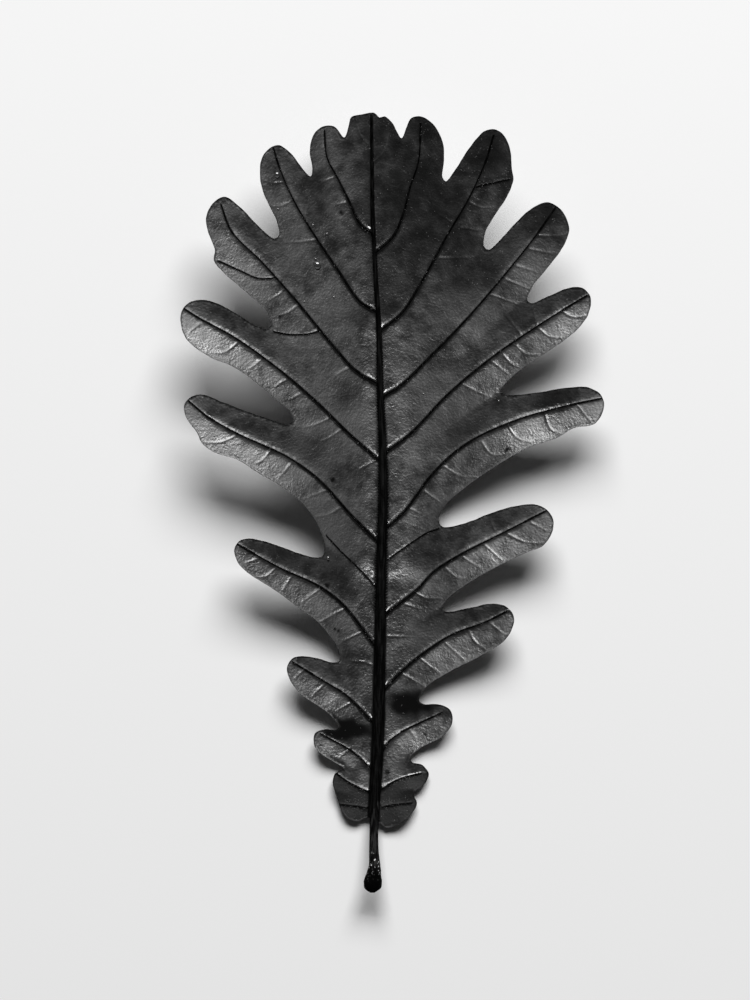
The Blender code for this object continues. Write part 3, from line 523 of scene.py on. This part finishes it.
def blade_height(places, vein_lines):
    """Height of the blade's lower face."""
    x, y = places[:, 0], places[:, 1]
    across = x - midrib_x(y)
    left = side_height(across, y, LEFT_RISE, LEFT_FULL, LEFT_REACH, LEFT_ROUNDING)
    right = side_height(across, y, RIGHT_RISE, RIGHT_FULL, RIGHT_REACH, RIGHT_ROUNDING)
    sides = np.where(across < 0, left, right)
    twist = 1.0 + TIP_TWIST * np.tanh(across / TIP_TWIST_REACH)
    tip = TIP_LIFT * np.maximum(0.0, y - TIP_START) ** 2 * twist
    base = BASE_LIFT * np.maximum(0.0, BASE_START - y) ** 2
    ends = smooth(REST_FROM, REST_FROM - REST_ENDS, y) + smooth(REST_TO, REST_TO + REST_ENDS, y)
    ends *= np.exp(-(across / END_REACH) ** 2)
    outward = smooth(GUTTER_STARTS, GUTTER_FULL, abs(across) / np.interp(y, BAY_PLACES, BAY_DISTANCES))
    to_vein = np.full(len(places), GUTTER_REACH)
    for line in vein_lines:
        to_vein = np.minimum(to_vein, near_line(places, line, GUTTER_REACH)[0])
    gutter = GUTTER_SLOPE * (np.hypot(to_vein, GUTTER_ROUNDING) - GUTTER_ROUNDING) * outward
    wave = WAVE_HEIGHT * np.sin(2 * np.pi * (places @ np.array(WAVE_RUNS)) / WAVE_LENGTH) * outward
    free = np.maximum(0.0, sides + tip + base + END_RISE * ends + gutter + wave - REST_DEPTH)
    return free ** 2 / (free + REST_SOFTNESS)


def half_width(kind, line, share):
    """Half width of a rib at a share of its length."""
    if kind == "midrib":
        return np.interp(np.interp(share, np.linspace(0, 1, len(line)), line[:, 1]),
                         MIDRIB_PLACES, MIDRIB_HALF_WIDTHS)
    if kind == "net":
        return np.full(np.shape(share), NET_HALF_WIDTH)
    root, tip = SIDE_VEIN_HALF_WIDTHS if kind == "side" else SMALL_VEIN_HALF_WIDTHS
    length = np.linalg.norm(np.diff(line, axis=0), axis=1).sum()
    size = np.clip(length / VEIN_FULL_LENGTH, VEIN_LEAST_SIZE, 1.0)
    return np.maximum((root + (tip - root) * share) * size, VEIN_LEAST_WIDTH)


def relief(places, ribs):
    """How far ribs stand out at each place, and how much each place is rib or net, from 0 to 1."""
    highest = np.zeros(len(places))
    masks = {name: np.zeros(len(places)) for name in ("midrib", "vein", "net", "core")}
    for kind, line in ribs:
        gap, share = near_line(places, line, RIB_REACH)
        half = half_width(kind, line, share)
        round_top = np.clip(1.0 - (gap / half) ** 2, 0.0, 1.0)
        if kind == "net":
            fade = 1.0 - NET_FADE * share
            proud = NET_HEIGHT * fade * round_top
            masks["net"] = np.maximum(masks["net"], fade * smooth(*NET_EDGE, gap / half))
        else:
            proud = (MIDRIB_PROUD if kind == "midrib" else VEIN_PROUD) * half * round_top ** RIB_ROUNDNESS
            name = "midrib" if kind == "midrib" else "vein"
            masks[name] = np.maximum(masks[name], smooth(*RIB_EDGE, gap / half))
            core = 1.0 - gap / half
            if kind == "midrib":
                core = MIDRIB_CORE_GAIN * (MIDRIB_CORE_FROM - gap / half)
            masks["core"] = np.maximum(masks["core"], np.clip(core, 0.0, 1.0))
        highest = np.maximum(highest, proud)
    return highest, masks


def beside(line, offsets):
    """The line moved sideways by an offset at each of its points."""
    run = np.gradient(line, axis=0)
    run /= np.linalg.norm(run, axis=1)[:, None]
    return line + np.stack([-run[:, 1], run[:, 0]], axis=1) * np.asarray(offsets)[:, None]


def tree_of(points):
    """A search tree over points in the plane."""
    tree = kdtree.KDTree(len(points))
    for index, (x, y) in enumerate(points):
        tree.insert((x, y, 0.0), index)
    tree.balance()
    return tree


class Drawing:
    """Points and edges that the blade is divided by, each point clear of those before it."""

    def __init__(self, outline):
        count = len(outline)
        self.outline = outline
        self.points = [tuple(point) for point in outline]
        self.edges = [(k, (k + 1) % count) for k in range(count)]

    def usable(self, line, gap):
        """True for each point of a line that is on the blade and clear of what is drawn."""
        tree = tree_of(self.points)
        rim = tree_of(self.outline)
        fits = inside(line, self.outline)
        for k in np.nonzero(fits)[0]:
            place = (line[k][0], line[k][1], 0.0)
            fits[k] = tree.find(place)[2] > gap and rim.find(place)[2] > OUTLINE_GAP
        return fits

    def add_lines(self, lines, gap):
        """Adds the lines' usable points, joined where neighbours are both usable."""
        for line in lines:
            previous = None
            for point, fits in zip(line, self.usable(line, gap)):
                if not fits:
                    previous = None
                    continue
                self.points.append(tuple(point))
                if previous is not None:
                    self.edges.append((previous, len(self.points) - 1))
                previous = len(self.points) - 1

    def fill(self, step, gap):
        """Adds evenly spaced points where nothing is drawn."""
        low, high = self.outline.min(axis=0), self.outline.max(axis=0)
        grid = []
        for row, y in enumerate(np.arange(low[1], high[1], step * ROW_SHARE)):
            shift = 0.5 * step * (row % 2)
            grid += [(x + shift, y) for x in np.arange(low[0], high[0], step)]
        grid = np.array(grid)
        self.points += [tuple(point) for point in grid[self.usable(grid, gap)]]

    def triangles(self):
        """The blade's points and triangles in the plane."""
        ring = list(range(len(self.outline)))
        found = delaunay_2d_cdt(self.points, self.edges, [ring], 1, DIVIDING_TOLERANCE)
        return np.array([tuple(point) for point in found[0]]), np.array(found[2])


class Leaf:
    """The leaf's lines, and its surface at any place, in millimetres."""

    def __init__(self):
        ring = through([point for lobe in OUTLINE.values() for point in lobe], OUTLINE_STEP, closed=True)
        self.outline = uneven(ring)
        self.ribs = [("midrib", through(MIDRIB, RIB_STEP))]
        for name, points in SIDE_VEINS.items():
            if name != "tip":
                self.ribs.append(("side", through(points, RIB_STEP)))
        self.ribs += [("small", through(points, RIB_STEP)) for points in SMALL_VEINS]
        self.ribs += [("net", through(points, NET_STEP)) for points in NET]
        self.folds = [through(points, FOLD_STEP) for points in SIDE_VEINS.values()]

    def surface(self, places):
        """Heights of the lower and the upper face, and the masks of the ribs."""
        low = blade_height(places, self.folds)
        proud, masks = relief(places, self.ribs)
        rim = nearest_rim(places, self.outline)
        flat = 1.0 - np.maximum(masks["vein"], masks["midrib"])
        rises = np.array([noise.noise(Vector((x, y, 0.0)) / PUCKER_LENGTH) for x, y in places])
        pucker = PUCKER_HEIGHT * rises * flat * smooth(0.0, PUCKER_FROM_RIM, rim)
        low = low * (1.0 - PINCH_DEPTH * pits(places, 0.0))
        high = low + BLADE_THICKNESS + proud + pucker
        low = low + np.minimum(UNDERSIDE_IMPRINT, IMPRINT_SHARE * proud)
        thin = smooth(0.0, RIM_REACH, rim)
        high = low + (high - low) * thin + RIM_THICKNESS * (1.0 - thin)
        masks["rim"] = smooth(*RIM_EDGE, rim)
        return low, high, masks


def uneven(ring):
    """The ring moved in and out a little, as a dry margin is."""
    run = np.roll(ring, -1, axis=0) - np.roll(ring, 1, axis=0)
    run /= np.linalg.norm(run, axis=1)[:, None]
    out = np.stack([run[:, 1], -run[:, 0]], axis=1)
    moves = [noise.noise(Vector((x, y, EDGE_NOISE_LAYER)) / EDGE_UNEVEN_LENGTH) for x, y in ring]
    return ring + out * EDGE_UNEVEN * np.array(moves)[:, None]


def nearest_rim(places, outline):
    """Distance from each place to the nearest point of the outline."""
    tree = tree_of(outline)
    return np.array([tree.find((x, y, 0.0))[2] for x, y in places])


def pits(places, unevenness):
    """How deep each place lies in a pinch, from 0 to 1, with an uneven border if asked."""
    share = np.zeros(len(places))
    moves = [noise.noise(Vector((x, y, PINCH_NOISE_LAYER)) / PINCH_UNEVEN_LENGTH) for x, y in places]
    moves = unevenness * np.array(moves)
    for x, y, half_long, half_high in PINCHES:
        away = ((places[:, 0] - x) / half_long) ** 2 + ((places[:, 1] - y) / half_high) ** 2
        share = np.maximum(share, np.exp(-PINCH_FALL * np.maximum(0.0, away + moves)))
    return share


def spots(places, marks, softness):
    """How deep each place lies in round marks, each x, y, radius and strength, from 0 to 1."""
    depth = np.zeros(len(places))
    for x, y, radius, strength in marks:
        away = np.hypot(places[:, 0] - x, places[:, 1] - y) / radius
        depth = np.maximum(depth, strength * smooth(1.0 + softness, 1.0 - softness, away))
    return depth


def new_piece(name, points, faces, unit, material, flat_from=None):
    """A mesh piece, its points in units of this many metres; faces from an index on are flat."""
    mesh = bpy.data.meshes.new(name)
    mesh.from_pydata([tuple(point) for point in np.asarray(points) * unit], [], faces)
    mesh.shade_smooth()
    if flat_from is not None:
        for polygon in mesh.polygons[flat_from:]:
            polygon.use_smooth = False
    mesh.materials.append(material)
    piece = bpy.data.objects.new(name, mesh)
    bpy.context.scene.collection.objects.link(piece)
    return piece


def add_mask(piece, name, values):
    """A value from 0 to 1 at each of the piece's points, for its material."""
    attribute = piece.data.attributes.new(name, "FLOAT", "POINT")
    attribute.data.foreach_set("value", np.asarray(values, np.float32))


def blade_piece(leaf, unit, materials):
    """The blade with its ribs and net, both faces divided alike, in three finishes."""
    drawing = Drawing(leaf.outline)
    rows = {"midrib": MIDRIB_ROWS, "side": VEIN_ROWS, "small": NET_ROWS, "net": NET_ROWS}
    for kind, line in leaf.ribs:
        half = half_width(kind, line, np.linspace(0, 1, len(line)))
        gap = NET_GAP if kind in ("small", "net") else LINE_GAP
        drawing.add_lines([beside(line, share * half) for share in rows[kind]], gap)
    drawing.fill(FILL_STEP, FILL_GAP)
    places, faces = drawing.triangles()
    low, high, masks = leaf.surface(places)
    count = len(places)
    ring = len(leaf.outline)
    top = [tuple(face) for face in faces]
    bottom = [tuple(face[::-1]) for face in faces + count]
    side = [(k, k + count, (k + 1) % ring + count, (k + 1) % ring) for k in range(ring)]
    points = np.vstack([np.column_stack([places, high]), np.column_stack([places, low])])
    piece = new_piece("leaf_blade", points, top + bottom + side, unit, materials[0], len(top) * 2)
    # Below the border the lowest lobes take the dull finish and painted shade
    below = np.interp(places[:, 0], DULL_BORDER_ACROSS, DULL_BORDER_ALONG) - places[:, 1]
    lowest = smooth(-DULL_BORDER_SOFTNESS, DULL_BORDER_SOFTNESS, below)
    masks["dull"] = np.maximum(spots(places, DULL, DULL_SOFTNESS), lowest)
    for slot, share, values in ((1, DULL_SHARE, masks["dull"]), (2, CORE_SHARE, masks.pop("core"))):
        piece.data.materials.append(materials[slot])
        for index in np.nonzero(values[faces].mean(axis=1) > share)[0]:
            piece.data.polygons[index].material_index = slot
    masks["stain_and_painted_shade"] = spots(places, STAINS_AND_PAINTED_SHADE, MARK_SOFTNESS)
    masks["pale"] = spots(places, PALE, MARK_SOFTNESS)
    masks["trough"] = smooth(TROUGH_REACH, TROUGH_FULL, abs(places[:, 0] - midrib_x(places[:, 1])))
    specks = spots(places, [(*speck, 1.0) for speck in SPECKS], SPECK_SOFTNESS)
    # Black: the specks, and painted shadow in the pinched pits
    masks["black"] = np.maximum(specks, smooth(*PIT_EDGE, pits(places, PINCH_UNEVEN)))
    for name, values in masks.items():
        add_mask(piece, name, np.concatenate([values, UNDERSIDE_SHARE * values]))
    return piece


def stalk_piece(unit, material):
    """The stalk: a ridged tube that swells to a rough foot."""
    rows = through(STALK, STALK_STEP)
    points, faces = [], []
    for row, (x, y, z, radius) in enumerate(rows):
        foot = float(smooth(STALK_FOOT_FROM, STALK_FOOT_FULL, y))
        for side in range(STALK_SIDES):
            turn = math.tau * side / STALK_SIDES
            bend = STALK_RIDGE_BEND * math.sin(STALK_RIDGE_BEND_RATE * y)
            ridge = 1.0 + STALK_RIDGE_SHARE * math.cos(STALK_RIDGES * turn + bend)
            across, up = math.cos(turn), math.sin(turn)
            lump = noise.noise(Vector((across, y, up)) * STALK_FOOT_RATE) * STALK_FOOT_ROUGH * foot
            reach = radius * (ridge + lump)
            points.append((x + across * reach, y, z + up * reach))
        if row:
            here, before = row * STALK_SIDES, (row - 1) * STALK_SIDES
            for side in range(STALK_SIDES):
                after = (side + 1) % STALK_SIDES
                faces.append((before + side, before + after, here + after, here + side))
    last = (len(rows) - 1) * STALK_SIDES
    faces.append(tuple(range(STALK_SIDES))[::-1])
    faces.append(tuple(range(last, last + STALK_SIDES)))
    piece = new_piece("leaf_stalk", points, faces, unit, material)
    along = np.array([point[1] for point in points])
    add_mask(piece, "foot", smooth(STALK_FOOT_FROM, STALK_BLACK_FULL, along))
    # The neck is where the painted glints go
    add_mask(piece, "neck", np.exp(-((along - STALK_GLINTS_AT) / STALK_GLINTS_REACH) ** 2))
    return piece


def hair_roots(leaf, rng):
    """Where hairs grow: scattered, along the veins, and in tufts in the veins' forks."""
    low, high = leaf.outline.min(axis=0), leaf.outline.max(axis=0)
    roots = [(rng.uniform(low[0], high[0]), rng.uniform(low[1], high[1])) for _ in range(2 * LONE_HAIRS)]
    veins = [line for kind, line in leaf.ribs if kind in ("side", "small", "midrib")]
    for _ in range(VEIN_HAIRS):
        x, y = rng.choice(rng.choice(veins))
        roots.append((x + rng.gauss(0.0, HAIR_SPREAD), y + rng.gauss(0.0, HAIR_SPREAD)))
    for points in SIDE_VEINS.values():
        (x1, y1), (x2, y2) = points[0], points[1]
        reach = math.hypot(x2 - x1, y2 - y1)
        for _ in range(TUFT_HAIRS):
            along = abs(rng.gauss(0.0, TUFT_ALONG)) / reach
            roots.append((x1 + (x2 - x1) * along + rng.gauss(0.0, TUFT_ACROSS),
                          y1 + (y2 - y1) * along + abs(rng.gauss(0.0, TUFT_UP)) + TUFT_FROM_VEIN))
    roots = np.array(roots)
    clear = nearest_rim(roots, leaf.outline) > HAIR_LENGTHS[1]
    return roots[inside(roots, leaf.outline) & clear]


def hairs_piece(leaf, unit, material):
    """Fine pale hairs, each a thin bent spike with three sides."""
    rng = random.Random(HAIR_SEED)
    roots = hair_roots(leaf, rng)
    _, heights, masks = leaf.surface(roots)
    bare = masks["midrib"] > 0.1
    points, faces = [], []
    for (x, y), z in zip(roots[~bare], heights[~bare]):
        length = rng.uniform(*HAIR_LENGTHS)
        turn = rng.uniform(0.0, math.tau)
        lift = rng.uniform(*HAIR_LIFTS)
        run = Vector((math.cos(turn), math.sin(turn), lift)).normalized()
        side = run.cross(Vector((0.0, 0.0, 1.0))).normalized()
        over = side.cross(run)
        root = Vector((x, y, z - HAIR_SINK))
        bend = Vector((0.0, 0.0, -HAIR_DROOP * length))
        bend += side * rng.uniform(-HAIR_BEND, HAIR_BEND) * length
        first = len(points)
        for share, radius in ((0.0, HAIR_RADIUS), (0.5, HAIR_MIDDLE_RADIUS * HAIR_RADIUS)):
            middle = root + run * length * share + bend * share ** 2
            for corner in range(3):
                angle = math.tau * corner / 3
                points.append(middle + (side * math.cos(angle) + over * math.sin(angle)) * radius)
        points.append(root + run * length + bend)
        for corner in range(3):
            after = (corner + 1) % 3
            faces.append((first + corner, first + after, first + 3 + after, first + 3 + corner))
            faces.append((first + 3 + corner, first + 3 + after, first + 6))
        faces.append((first + 2, first + 1, first))
    return new_piece("leaf_hairs", points, faces, unit, material)


def drops_piece(leaf, unit, material):
    """Small clear drops, low domes that sit on the blade."""
    places = np.array([(x, y) for x, y, _, _ in DROPS])
    heights = leaf.surface(places)[1]
    rings, sides = 8, 20
    points, faces, painted_crescent = [], [], []
    for (x, y, radius, height), z in zip(DROPS, heights):
        first = len(points)
        for ring in range(1, rings):
            angle = math.pi * ring / rings
            for side in range(sides):
                turn = math.tau * side / sides
                points.append((x + radius * math.sin(angle) * math.cos(turn),
                               y + radius * math.sin(angle) * math.sin(turn),
                               z + height * math.cos(angle)))
                painted_crescent.append(max(0.0, -math.sin(turn)) ** PAINTED_CRESCENT_NARROWNESS * (math.sin(angle) > PAINTED_CRESCENT_FROM))
        points += [(x, y, z + height), (x, y, z - height)]
        painted_crescent += [0.0, 0.0]
        crown, root = len(points) - 2, len(points) - 1
        for side in range(sides):
            after = (side + 1) % sides
            faces.append((first + side, first + after, crown))
            last = first + (rings - 2) * sides
            faces.append((last + after, last + side, root))
            for ring in range(rings - 2):
                upper, lower = first + ring * sides, first + (ring + 1) * sides
                faces.append((upper + side, lower + side, lower + after, upper + after))
    piece = new_piece("leaf_drops", points, faces, unit, material)
    add_mask(piece, "painted_crescent", painted_crescent)
    return piece


class Nodes:
    """A material and short ways to add its nodes."""

    def __init__(self, name):
        self.material = bpy.data.materials.new(name)
        self.material.use_nodes = True
        self.tree = self.material.node_tree
        self.shader = self.tree.nodes["Principled BSDF"]
        self.place = self.add("ShaderNodeTexCoord").outputs["Object"]

    def put(self, socket, value):
        """Links a socket to another, or gives it a value."""
        if isinstance(value, bpy.types.NodeSocket):
            self.tree.links.new(value, socket)
        else:
            socket.default_value = value

    def add(self, kind, inputs=(), **settings):
        """A node with its settings, and its inputs by name or number."""
        made = self.tree.nodes.new(kind)
        for name, value in settings.items():
            setattr(made, name, value)
        for name, value in dict(inputs).items():
            self.put(made.inputs[name], value)
        return made

    def math(self, operation, first, second=0.0):
        """The result of an operation on two values."""
        return self.add("ShaderNodeMath", {0: first, 1: second}, operation=operation).outputs[0]

    def between(self, low, high, share):
        """A value from low to high at this share."""
        inputs = {"Value": share, "To Min": low, "To Max": high}
        return self.add("ShaderNodeMapRange", inputs, clamp=True).outputs[0]

    def step(self, value, low, high):
        """0 below low and 1 above high, with soft ends."""
        inputs = {"Value": value, "From Min": low, "From Max": high}
        return self.add("ShaderNodeMapRange", inputs, interpolation_type="SMOOTHSTEP").outputs[0]

    def waves(self, length, place=None, **inputs):
        """A texture's inputs, for waves about this long, in millimetres."""
        return {"Vector": place or self.place, "Scale": 1000.0 / length, **inputs}

    def noise(self, length, detail=3.0, roughness=0.55):
        """Noise whose waves are about this long, in millimetres."""
        inputs = self.waves(length, Detail=detail, Roughness=roughness)
        return self.add("ShaderNodeTexNoise", inputs).outputs[0]

    def cells(self, length, feature, place=None):
        """Cells about this wide, in millimetres."""
        inputs = self.waves(length, place)
        return self.add("ShaderNodeTexVoronoi", inputs, feature=feature).outputs["Distance"]

    def bent(self, length, size):
        """Places moved about by noise, both in millimetres."""
        moves = self.add("ShaderNodeTexNoise", self.waves(length)).outputs["Color"]
        moves = self.vectors("SUBTRACT", {0: moves, 1: (0.5, 0.5, 0.5)})
        moves = self.vectors("SCALE", {0: moves, "Scale": size / 1000.0})
        return self.vectors("ADD", {0: self.place, 1: moves})

    def vectors(self, operation, inputs):
        """The result of an operation on vectors."""
        return self.add("ShaderNodeVectorMath", inputs, operation=operation).outputs[0]

    def streaks(self, length):
        """Noise drawn out along the leaf, this wide across it, in millimetres."""
        inputs = {"Vector": self.place, "Scale": (1.0, 0.12, 1.0)}
        stretched = self.add("ShaderNodeMapping", inputs).outputs[0]
        return self.add("ShaderNodeTexNoise", self.waves(length, stretched, Detail=3.0)).outputs[0]

    def mask(self, name):
        """A value that the piece's points carry."""
        return self.add("ShaderNodeAttribute", attribute_name=name).outputs["Fac"]

    def grey(self, value):
        """A grey from a value."""
        inputs = {"Red": value, "Green": value, "Blue": value}
        return self.add("ShaderNodeCombineColor", inputs).outputs[0]

    def finish(self, colour, roughness, bumps, shine=0.5, strength=1.0):
        """Sets colour, roughness, shine, and bumps, each a height and its size in millimetres."""
        self.shader.inputs["Specular IOR Level"].default_value = shine
        self.put(self.shader.inputs["Base Color"], colour)
        self.put(self.shader.inputs["Roughness"], roughness)
        normal = None
        for height, size in bumps:
            inputs = {"Height": height, "Distance": size / 1000.0, "Strength": strength}
            if normal is not None:
                inputs["Normal"] = normal
            normal = self.add("ShaderNodeBump", inputs).outputs[0]
        self.put(self.shader.inputs["Normal"], normal)
        return self.material


def blade_material(name, shine):
    """Dry dark blade: mottled, with a fine net of veinlets and pale grains; some dark marks and the black
    pits are painted shade.
    """
    made = Nodes(name)
    patch = made.noise(2.6, 3.0)
    broad = made.between(0.7, 1.35, made.step(made.noise(11.0, 2.0), 0.3, 0.7))
    cloud = made.between(0.6, 1.45, made.step(patch, 0.3, 0.7))
    fine = made.between(0.65, 1.4, made.step(made.noise(0.4, 2.0, 0.7), 0.25, 0.75))
    shade = made.math("MULTIPLY", made.math("MULTIPLY", broad, cloud), fine)
    shade = made.math("MULTIPLY", shade, BLADE_SHADE)
    # Darker at the marks: stains, and painted shade over the tip's right half and round the pits
    shade = made.math("MULTIPLY", shade, made.between(1.0, 0.3, made.mask("stain_and_painted_shade")))
    # Darker where dull; at the lowest lobes this is painted shade
    shade = made.math("MULTIPLY", shade, made.between(1.0, 0.4, made.mask("dull")))
    bent = made.bent(1.6, 0.9)
    meshes = made.step(made.cells(3.1, "DISTANCE_TO_EDGE", bent), 0.05, 0.0)
    veinlets = made.step(made.cells(0.95, "DISTANCE_TO_EDGE", bent), 0.14, 0.0)
    # Net ties and cell edges are paler: partly their own colour, partly a painted highlight on raised
    # lines that catch the lamp
    lines = made.math("MAXIMUM", made.mask("net"), made.math("MULTIPLY", meshes, 0.3))
    shade = made.math("MULTIPLY", shade, made.between(1.0, 2.4, lines))
    grain = made.step(made.cells(0.55, "F1"), 0.24, 0.12)
    chosen = made.step(made.noise(1.9, 1.0), 0.58, 0.68)
    grains = made.math("MULTIPLY", made.math("MULTIPLY", grain, chosen), 0.13)
    shade = made.math("ADD", shade, grains)
    # Veins, midrib and rim are darker; the black mask is the black specks and the painted shadow in the
    # pinched pits
    for name, dark in (("vein", 0.003), ("midrib", 0.002), ("rim", 0.003), ("black", 0.0004)):
        shade = made.between(shade, dark, made.mask(name))
    rough = made.between(0.35, 0.54, made.step(patch, 0.3, 0.7))
    rough = made.between(rough, 0.62, made.mask("pale"))
    rough = made.math("MULTIPLY", rough, made.between(1.0, 0.78, made.mask("trough")))
    rough = made.between(rough, 0.26, made.mask("stain_and_painted_shade"))
    rough = made.between(rough, made.between(0.6, 0.8, patch), made.mask("dull"))
    rough = made.between(rough, 0.12, made.mask("black"))
    rough = made.between(rough, 0.6, made.mask("rim"))
    bumps = [(made.noise(1.8, 2.0), 0.1), (made.noise(0.45, 3.0, 0.65), 0.075)]
    bumps += [(meshes, 0.01), (veinlets, 0.006)]
    made.shader.inputs["IOR"].default_value = BLADE_INDEX
    calm = made.between(1.0, 0.04, made.mask("black"))
    return made.finish(made.grey(shade), rough, bumps, shine, calm)


def rib_material():
    """Near-black ribs, faintly streaked along."""
    made = Nodes("leaf_rib")
    shade = made.between(0.0, 0.006, made.step(made.streaks(0.4), 0.4, 0.7))
    # Black specks and the painted pit shadow here too
    shade = made.between(shade, 0.0003, made.mask("black"))
    rough = made.between(0.55, 0.75, made.noise(0.8))
    bumps = [(made.streaks(0.4), 0.06), (made.noise(0.4), 0.06)]
    return made.finish(made.grey(shade), rough, bumps, RIB_SHINE)


def stalk_material():
    """Dark stalk with long streaks, and a black rough foot with pale flecks painted on as glints."""
    made = Nodes("leaf_stalk")
    streaks = made.streaks(0.4)
    shade = made.between(0.0, 0.018, made.step(streaks, 0.42, 0.68))
    shade = made.between(shade, 0.0, made.mask("foot"))
    # Pale flecks on the neck: painted glints
    dots = made.step(made.cells(0.5, "F1"), 0.36, 0.2)
    painted_glints = made.math("MULTIPLY", dots, made.step(made.noise(1.1), 0.46, 0.54))
    painted_glints = made.math("MULTIPLY", painted_glints, made.between(0.0, 0.6, made.mask("neck")))
    shade = made.math("ADD", shade, painted_glints)
    rough = made.between(made.between(0.6, 0.8, made.noise(0.8)), 1.0, made.mask("foot"))
    return made.finish(made.grey(shade), rough, [(streaks, 0.12), (made.noise(0.4), 0.06)], RIB_SHINE)


def hair_material():
    """Pale dry hairs."""
    made = Nodes("leaf_hairs")
    shade = made.between(0.04, 0.3, made.noise(3.0))
    return made.finish(made.grey(shade), 0.4, [(made.noise(0.1), 0.002)])


def drop_material():
    """Dark clear drops that shine, with a painted pale crescent of gathered light."""
    made = Nodes("leaf_drops")
    shade = made.between(0.01, 0.05, made.noise(0.5))
    # The pale crescent is painted light, not light passed through the drop
    shade = made.between(shade, 0.3, made.mask("painted_crescent"))
    return made.finish(made.grey(shade), 0.12, [(made.noise(0.3), 0.004)], 1.0)


def floor_piece():
    """A plain pale floor."""
    made = bpy.data.materials.new("floor")
    made.use_nodes = True
    inputs = made.node_tree.nodes["Principled BSDF"].inputs
    inputs["Base Color"].default_value = FLOOR_COLOUR
    inputs["Roughness"].default_value = FLOOR_ROUGHNESS
    half = FLOOR_SIZE / 2
    corners = [(-half, -half, 0.0), (half, -half, 0.0), (half, half, 0.0), (-half, half, 0.0)]
    floor = new_piece("floor", corners, [(0, 1, 2, 3)], 1.0, made)


def add_light():
    """A low, wide, soft light beyond the leaf's tip, and a faint sky."""
    lamp = bpy.data.lights.new("key", "AREA")
    lamp.shape = "RECTANGLE"
    lamp.size = KEY_WIDTH
    lamp.size_y = KEY_DEPTH
    lamp.energy = KEY_POWER
    key = bpy.data.objects.new("key", lamp)
    rise = math.radians(KEY_ELEVATION)
    turn = math.radians(KEY_TURN)
    flat = KEY_DISTANCE * math.cos(rise)
    key.location = (flat * math.sin(turn), flat * math.cos(turn), KEY_DISTANCE * math.sin(rise))
    key.rotation_euler = (rise - math.pi / 2, 0.0, -turn)
    key.visible_camera = False
    bpy.context.scene.collection.objects.link(key)
    world = bpy.data.worlds.new("sky")
    world.use_nodes = True
    inputs = world.node_tree.nodes["Background"].inputs
    inputs["Color"].default_value = (1.0, 1.0, 1.0, 1.0)
    inputs["Strength"].default_value = SKY_STRENGTH
    bpy.context.scene.world = world


def add_camera(unit):
    """A long lens straight above, framed as the photograph is."""
    eye = bpy.data.cameras.new("camera")
    eye.sensor_width = SENSOR
    eye.lens = SENSOR * CAMERA_HEIGHT / (PICTURE_HEIGHT * MM_PER_PIXEL)
    camera = bpy.data.objects.new("camera", eye)
    camera.location = (MIDDLE_X * unit, MIDDLE_Y * unit, CAMERA_HEIGHT * unit)
    bpy.context.scene.collection.objects.link(camera)
    bpy.context.scene.camera = camera


def main():
    """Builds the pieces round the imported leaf."""
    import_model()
    low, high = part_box("oak_leaf")
    unit = (high.y - low.y) / TABLE_LENGTH
    leaf = Leaf()
    shiny, dull = blade_material("leaf_blade", BLADE_SHINE), blade_material("leaf_dull", DULL_SHINE)
    blade = blade_piece(leaf, unit, [shiny, dull, rib_material()])
    pieces = [
        blade,
        stalk_piece(unit, stalk_material()),
        hairs_piece(leaf, unit, hair_material()),
        drops_piece(leaf, unit, drop_material()),
    ]
    for piece in pieces:
        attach(piece, "root")
    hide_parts("oak_leaf")
    floor_piece()
    add_light()
    add_camera(unit)
    bpy.context.scene.view_settings.view_transform = "Standard"


main()
